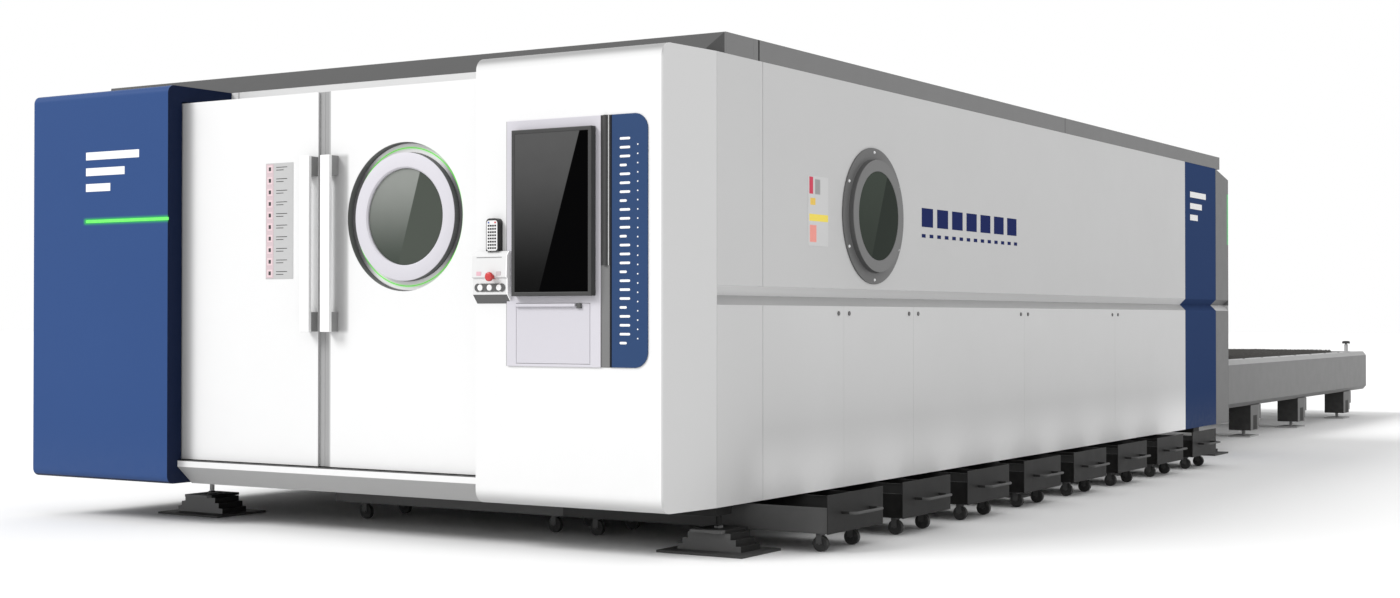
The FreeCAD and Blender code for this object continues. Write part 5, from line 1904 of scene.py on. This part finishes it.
@dataclass
class ScrapTrolley:
    """One scrap trolley: two coupled sheet trays, a front plate with a pull, and casters."""
    number: int
    handle_reach: float = 0.08
    plate: float = 0.004
    tray_length: float = 1.493
    tray_height: float = 0.12
    tray_inset: float = 0.02
    tray_z: float = 0.088
    fold: float = 0.0008
    link: float = 0.02
    link_bar: float = 0.06
    sheet: float = 0.004
    rim: float = 0.01
    pull_width: float = 0.3
    pull_radius: float = 0.0068
    pull_bend: float = 0.018
    wheel: float = 0.0375
    wheel_width: float = 0.024
    wheel_lift: float = 0.0002
    caster_ends: Span = (0.161, 0.077)
    caster_sides: Span = (0.09, 0.17)

    def build(self) -> None:
        """Makes the trolley's body and its casters."""
        node = f"scrap_trolley_{self.number}"
        space = Space.of(node)
        front, top = space.high.x - self.handle_reach, space.high.z
        bottom = round(space.low.z + self.tray_z, 3)
        y0, y1 = space.low.y, space.high.y
        start, back = space.low.x - OVER, front - self.plate - 0.0005
        sides = (y0 + self.tray_inset - 0.001, y0 + self.tray_inset + 0.0025)
        # Painted light and shade by face: trays lighter than the front plate, their front sides
        # lighter on the first trolley and near black on the rest, the inner tray's sides lighter
        # still, and a painted highlight on the pull.
        zones = (Zone(shade(54), x=(start, back)),
                 Zone(shade(74 if self.number == 1 else 8), x=(start, back), y=sides),
                 Zone(shade(108), x=(start, back - self.tray_length), y=sides),
                 Zone(shade(78), x=(front + 0.04, space.high.x + OVER)))
        dark = PowderCoat(node + "_dark", shade(29), roughness=0.46, dust_share=0.02,
                          zones=zones)
        body = Solid().box((front - self.plate, y0, bottom), (front, y1, top), 0.0012, 1)
        first = front - self.plate - self.tray_length
        second = first - self.link - self.tray_length
        for end in (first, second):
            self.tray(body, (end, end + self.tray_length),
                      (y0 + self.tray_inset, y1 - self.tray_inset), bottom)
        middle = (y0 + y1) / 2
        bar, sheet = self.link_bar, self.sheet
        for side, wide, high in ((middle - bar / 2, bar, bar),
                                 (y0 + self.tray_inset, sheet, self.tray_height),
                                 (y1 - self.tray_inset - sheet, sheet, self.tray_height)):
            body.box((first - self.link, side, bottom), (first, side + wide, bottom + high))
        self.pull(body, front, middle, (bottom + top) / 2)
        fit(body.piece(node + "_body", dark), "dark_paint", node, body=node)
        self.casters(node, first, second, (y0, y1), bottom)

    def tray(self, body: Solid, x: Span, y: Span, z: float) -> None:
        """An open tray with a folded rim.

        Args:
            body: collection that takes it.
            x, y: its spans.
            z: its underside.
        """
        t, top, fold = self.sheet, z + self.tray_height, self.fold
        body.box((x[0], y[0], z), (x[1], y[1], z + t), fold, 1)
        for start, end in ((x[0], x[0] + t), (x[1] - t, x[1])):
            body.box((start, y[0], z + t), (end, y[1], top), fold, 1)
        for start, end in ((y[0], y[0] + t), (y[1] - t, y[1])):
            body.box((x[0] + t, start, z + t), (x[1] - t, end, top), fold, 1)
        for start, end in ((y[0] + t, y[0] + self.rim), (y[1] - self.rim, y[1] - t)):
            body.box((x[0] + t, start, top - 0.002), (x[1] - t, end, top), 0.0006, 1)

    def pull(self, body: Solid, front: float, middle: float, z: float) -> None:
        """The bent round pull on the front plate.

        Args:
            body: collection that takes it.
            front: the front plate's face in X.
            middle, z: the pull's middle in Y and Z.
        """
        inset, bend = 0.007, self.pull_bend
        half, reach = self.pull_width / 2 - inset, self.handle_reach - inset
        path = [(front, middle - half, z)]
        for side, turns in ((-1, range(6)), (1, range(5, -1, -1))):
            for i in turns:
                angle = math.radians(18 * i)
                path.append((front + reach - bend + bend * math.sin(angle),
                             middle + side * (half - bend + bend * math.cos(angle)), z))
        path.append((front, middle + half, z))
        body.tube(path, self.pull_radius)

    def casters(self, node: str, first: float, second: float, y: Span, top: float) -> None:
        """The wheels and forks of both trays.

        Args:
            node: the trolley's body.
            first, second: front ends of the two trays in X.
            y: the trolley's span in Y.
            top: underside of the trays.
        """
        (base, end), (near, far) = self.caster_ends, self.caster_sides
        start = (second + base, y[0] + near, self.wheel + self.wheel_lift)
        sizes = {"Start": tuple(Vector(start)), "Step": self.tray_length - base - end,
                 "Gap": first - second, "Across": y[1] - y[0] - near - far,
                 "Radius": self.wheel, "Width": self.wheel_width}
        turned = Facing.FRONT.value
        tree = GeometryTree(node + "_wheels", **sizes)
        radius, wide = tree.given("Radius", "Width")
        tyre = tree.moved(tree.cylinder(radius, wide, 28), Rotation=turned)
        hub = tree.moved(tree.cylinder(radius * 0.45, wide * 1.25, 16), Rotation=turned)
        self.spread(tree, "dark_plastic", Rubber("caster_rubber"), node + "_wheels", tyre, hub)
        tree = GeometryTree(node + "_forks", **sizes)
        wide, high = tree.given("Width"), top - self.wheel - self.wheel_lift
        cheek = tree.block((0.03, 0.0022, high))
        cheeks = [tree.moved(cheek, Translation=tree.vector(-0.004, wide * side, high / 2))
                  for side in (-0.66, 0.66)]
        cap = tree.raised(tree.block((0.052, 0.046, 0.006)), high - 0.003)
        axle = tree.moved(tree.cylinder(0.005, wide * 1.7, 8), Rotation=turned)
        bearing = tree.raised(tree.cylinder(0.02, 0.007, 16), high - 0.009)
        steel = MachinedSteel("caster_steel", shade(78), roughness=0.5, metallic=0.4)
        self.spread(tree, "rail_steel", steel, node + "_forks", *cheeks, cap, axle, bearing)

    def spread(self, tree: GeometryTree, slot: str, finish: Finish, name: str,
               *parts: Value) -> None:
        """Sets parts of a caster on all eight places: a tray's ends, its sides, both trays.

        Args:
            tree: the casters' tree, with their places as inputs.
            slot: material slot of the finish.
            finish: finish of the parts.
            name: name of the piece.
            parts: the parts, about a wheel's middle.
        """
        zero = (0.0, 0.0, 0.0)
        ends = tree.line(2, zero, tree.vector(tree.given("Step"), 0.0, 0.0))
        sides = tree.line(2, zero, tree.vector(0.0, tree.given("Across"), 0.0))
        trays = tree.line(2, tree.given("Start"), tree.vector(tree.given("Gap"), 0.0, 0.0))
        eight = tree.plain(tree.copies(trays, tree.plain(tree.copies(sides, ends))))
        made = tree.piece(name, finish, tree.copies(eight, tree.joined(*parts)))
        fit(made, slot, body=f"scrap_trolley_{self.number}")


@dataclass
class Pallet:
    """A shuttle pallet: a wheeled frame that carries toothed support slats."""
    level: str
    slat_pitch: float = 0.072
    slat_thickness: float = 0.005
    tooth_pitch: float = 0.0475
    tooth_depth: float = 0.045
    tooth_wear: float = 0.006
    seed: int = 7

    def build(self) -> None:
        """Dresses the frame and makes the slats."""
        node, body = self.level + "_pallet_frame", self.level + "_pallet"
        dark = PowderCoat("pallet_dark", shade(104), roughness=0.5, dust_share=0.2)
        dress(node, dark, "table_paint", 0.002, body)
        slats = Space.of(body + "_slats")
        burnt = BurntSteel(self.level + "_slat_steel", tips=(slats.high.z - 0.06, slats.high.z))
        fit(self.slats(slats, burnt), "slat_steel", body + "_slats", body=body)

    def slats(self, space: Space, finish: Finish) -> Piece:
        """The bank of slats, with slightly uneven burnt teeth.

        Args:
            space: box of the slats.
            finish: their finish.

        Returns:
            The slats in one mesh.
        """
        count = int(space.size.y // self.slat_pitch) + 1
        first = space.centre.y - self.slat_pitch * (count - 1) / 2
        tree = GeometryTree(
            self.level + "_slats", Start=(space.centre.x, first, space.low.z),
            Pitch=self.slat_pitch, Slats=count, Teeth=round(space.size.x / self.tooth_pitch),
            Width=space.size.x, Height=space.size.z, Depth=self.tooth_depth,
            Thickness=self.slat_thickness, Wear=self.tooth_wear, Seed=self.seed)
        grid = tree.value("GeometryNodeMeshGrid", None,
                          {"Size X": tree.given("Width"), "Size Y": 1.0,
                           "Vertices X": tree.given("Teeth") * 2 + 1, "Vertices Y": 2})
        x, y, _ = tree.position()
        column = tree.math("FLOOR", tree.value("GeometryNodeInputIndex") / 2, 0.0)
        tip = tree.math("MODULO", column, 2.0)
        wear = tree.value("FunctionNodeRandomValue", {"data_type": "FLOAT"},
                          {"Min_001": 0.0, "Max_001": tree.given("Wear"),
                           "Seed": tree.given("Seed")}, 1)
        high = tree.given("Height") - (1 - tip) * tree.given("Depth") - wear * tip
        shaped = tree.reshaped(grid, tree.vector(x, 0.0, y.above(0.0) * high))
        thick = tree.value("GeometryNodeExtrudeMesh", {"mode": "FACES"},
                           {"Mesh": shaped, "Offset": (0.0, 1.0, 0.0),
                            "Offset Scale": tree.given("Thickness"), "Individual": False})
        back = tree.value("GeometryNodeFlipFaces", None, {0: shaped})
        both = tree.value("GeometryNodeMergeByDistance", None,
                          {"Geometry": tree.joined(thick, back), "Distance": 0.00001})
        row = tree.line(tree.given("Slats"), tree.given("Start"),
                        tree.vector(0.0, tree.given("Pitch"), 0.0))
        return tree.piece(self.level + "_pallet_slat_bank", finish, tree.copies(row, both))


@dataclass
class ExchangeTable:
    """The pallet exchange table behind the cabinet."""
    edge: float = 0.0025
    bolt_pitch: float = 0.62
    bolt_start: float = 0.35
    bolt_inset: float = 0.1
    bolt_radius: float = 0.011
    bolt_height: float = 0.007
    leg_side: float = 3.88
    leg_skin: float = 0.0016
    leg_shade_patch: tuple[Span, Span] = ((-0.045, 0.085), (0.066, 0.195))
    legs_y: tuple[float, ...] = (10.32, 12.03, 13.99)

    def build(self) -> None:
        """Dresses the table, its legs and its stop button."""
        table, post = Space.of("table_frame"), Space.of("table_legs")
        top = table.high.z
        # Painted light on the top chamfer of the table.
        grey = PowderCoat("table_grey", shade(112), dust_share=0.05,
                          zones=(Zone(shade(150), z=table.last(Axis.Z, 0.0405)),))
        dress("table_frame", grey, "table_paint", self.edge)
        face = ORIGIN.x + self.leg_side
        side = (face - self.leg_skin, face + OVER)
        (start, end), height = self.leg_shade_patch
        # Painted light on the legs' right faces, with a patch of painted shade on each.
        zones = (Zone(shade(104), x=side),
                 *(Zone(shade(5), x=side, y=(ORIGIN.y + y + start, ORIGIN.y + y + end), z=height)
                   for y in self.legs_y),
                 Zone(shade(170), z=(-0.01, 0.0598)),
                 Zone(shade(160), z=(top - 0.001, post.high.z + OVER)))
        dress("table_legs",
              PowderCoat("leg_dark", shade(48), roughness=0.5, zones=zones, dust_share=0.05),
              "dark_paint", 0.0015)
        count = int((table.size.y - 0.5) // self.bolt_pitch)
        steel = MachinedSteel("bolt_dark", shade(110), roughness=0.5, metallic=0.6)
        for name, x in (("left", table.low.x + self.bolt_inset),
                        ("right", table.high.x - self.bolt_inset)):
            row = Fixtures(Vector((x, table.low.y + self.bolt_start, top)),
                           along=(0, self.bolt_pitch, 0), along_count=count)
            fit(row.screws(f"table_bolts_{name}", steel, self.bolt_radius, self.bolt_height, 6),
                "rail_steel")
        self.stop()

    def stop(self) -> None:
        """The mushroom stop button on its post."""
        node = "table_stop_button"
        space = Space.of(node)
        radius, stem, high = space.size.x / 2, 0.01, space.size.z
        brim = high - 0.03
        profile = [(0.0, 0.0), (stem, 0.0), (stem, brim), (radius * 0.9, brim),
                   (radius * 0.98, brim + 0.002), (radius, brim + 0.008),
                   (radius * 0.96, high - 0.009), (radius * 0.8, high - 0.0025),
                   (radius * 0.5, high - 0.0004), (0.0, high)]
        dark = MouldedPlastic("table_stop_dark", shade(36), roughness=0.35)
        head = Solid().turned(profile, Axis.Z, (space.centre.x, space.centre.y, space.low.z), 48)
        fit(head.piece("table_stop_head", dark), "dark_plastic", node, body=node)


@dataclass
class Gantry:
    """The gantry over the bed: beam, carriage and cutting head, with the bed and its rails."""
    edge: float = 0.003
    fine_edge: float = 0.002
    rail_edge: float = 0.001

    def build(self) -> None:
        """Dresses the moving and fixed parts inside the cabinet."""
        cast = MachinedSteel("gantry_cast", shade(196), roughness=0.5, metallic=0.35,
                             mark=0.004, grain=(1.0, 1.0, 1.0))
        steel = MachinedSteel("head_steel", shade(196), roughness=0.28, grain=(1, 1, 0.02))
        bed = PowderCoat("bed_grey", shade(120), roughness=0.55, dust_share=0.25,
                         dust_height=1.0)
        ground = MachinedSteel("rail_ground", shade(190), roughness=0.3)
        light = PowderCoat("source_grey", shade(196))
        for node, finish, slot, edge, body, kind in (
                ("gantry_beam", cast, "gantry_aluminium", self.edge, "gantry", "skin"),
                ("head_carriage", cast, "gantry_aluminium", self.fine_edge, "head_carriage",
                 "skin"),
                ("cutting_head", steel, "rail_steel", self.fine_edge, "cutting_head", "skin"),
                ("bed_frame", bed, "bed_steel", self.edge, BODY, "skin"),
                ("rails_and_tracks", ground, "rail_steel", self.rail_edge, BODY, "skin"),
                ("laser_source", light, "wall_paint", self.edge, BODY, "case")):
            dress(node, finish, slot, edge, body, f"{node}_{kind}")


@dataclass
class Studio:
    """The pale floor, soft light and the camera."""
    camera: Triple = (6.2035, -14.334, 1.080)
    heading: float = 31.52
    rise: float = 0.59
    lens: float = 48.14
    sensor: float = 36.0
    far_clip: float = 400.0
    sun_strength: float = 2.3
    sun_width: float = 24.0
    sun_turn: Triple = (52.0, 0.0, -38.0)
    floor_reach: float = 120.0
    floor_depth: float = 0.02

    def build(self) -> None:
        """Makes the studio."""
        scene = bpy.context.scene
        scene.view_settings.view_transform = "Standard"
        self.floor()
        world = bpy.data.worlds.new("studio")
        world.use_nodes = True
        light = world.node_tree.nodes["Background"].inputs
        light["Color"].default_value = (1, 1, 1, 1)
        light["Strength"].default_value = 1.0
        scene.world = world
        sun = bpy.data.lights.new("key", "SUN")
        sun.energy = self.sun_strength
        sun.angle = math.radians(self.sun_width)
        self.add("key", sun, self.sun_turn, (0, 0, 8))
        lens = bpy.data.cameras.new("view")
        lens.lens, lens.sensor_width = self.lens, self.sensor
        lens.sensor_fit = "HORIZONTAL"
        lens.clip_end = self.far_clip
        scene.camera = self.add("view", lens, (90 + self.rise, 0.0, self.heading), self.camera)

    @staticmethod
    def add(name: str, data: bpy.types.ID, turn: Point, place: Point) -> Piece:
        """Sets a light or camera in the scene, turned by angles in degrees.

        Args:
            name: the object's name.
            data: the light or camera.
            turn: its angles.
            place: where it stands.

        Returns:
            The object.
        """
        made = bpy.data.objects.new(name, data)
        made.rotation_euler, made.location = [math.radians(a) for a in turn], place
        bpy.context.scene.collection.objects.link(made)
        return made

    def floor(self) -> None:
        """The pale floor."""
        far = self.floor_reach
        pale = CleanCoat("studio_floor", shade(228), peel=0.02, roughness=0.9, cloud=0.0)
        slab = Solid().box((-far, -far, -self.floor_depth), (far, far, 0.0))
        slab.piece("floor", pale)


def main() -> None:
    """Builds every sub-assembly in order."""
    logging.basicConfig(level=logging.INFO, format="%(name)s %(message)s")
    parts = [Panelwork(), Roof(), LeftCover(), FrontDoors(), DoorWindow(), Sill(), Console(),
             OperatorBox(), SideWindow(), RearBay(), Feet()]
    parts += [ScrapTrolley(number) for number in range(1, 9)]
    parts += [Pallet("lower"), Pallet("upper"), ExchangeTable(), Gantry(), Studio()]
    for part in parts:
        LOG.info("building %s", type(part).__name__)
        part.build()


if __name__ == "__main__":
    main()
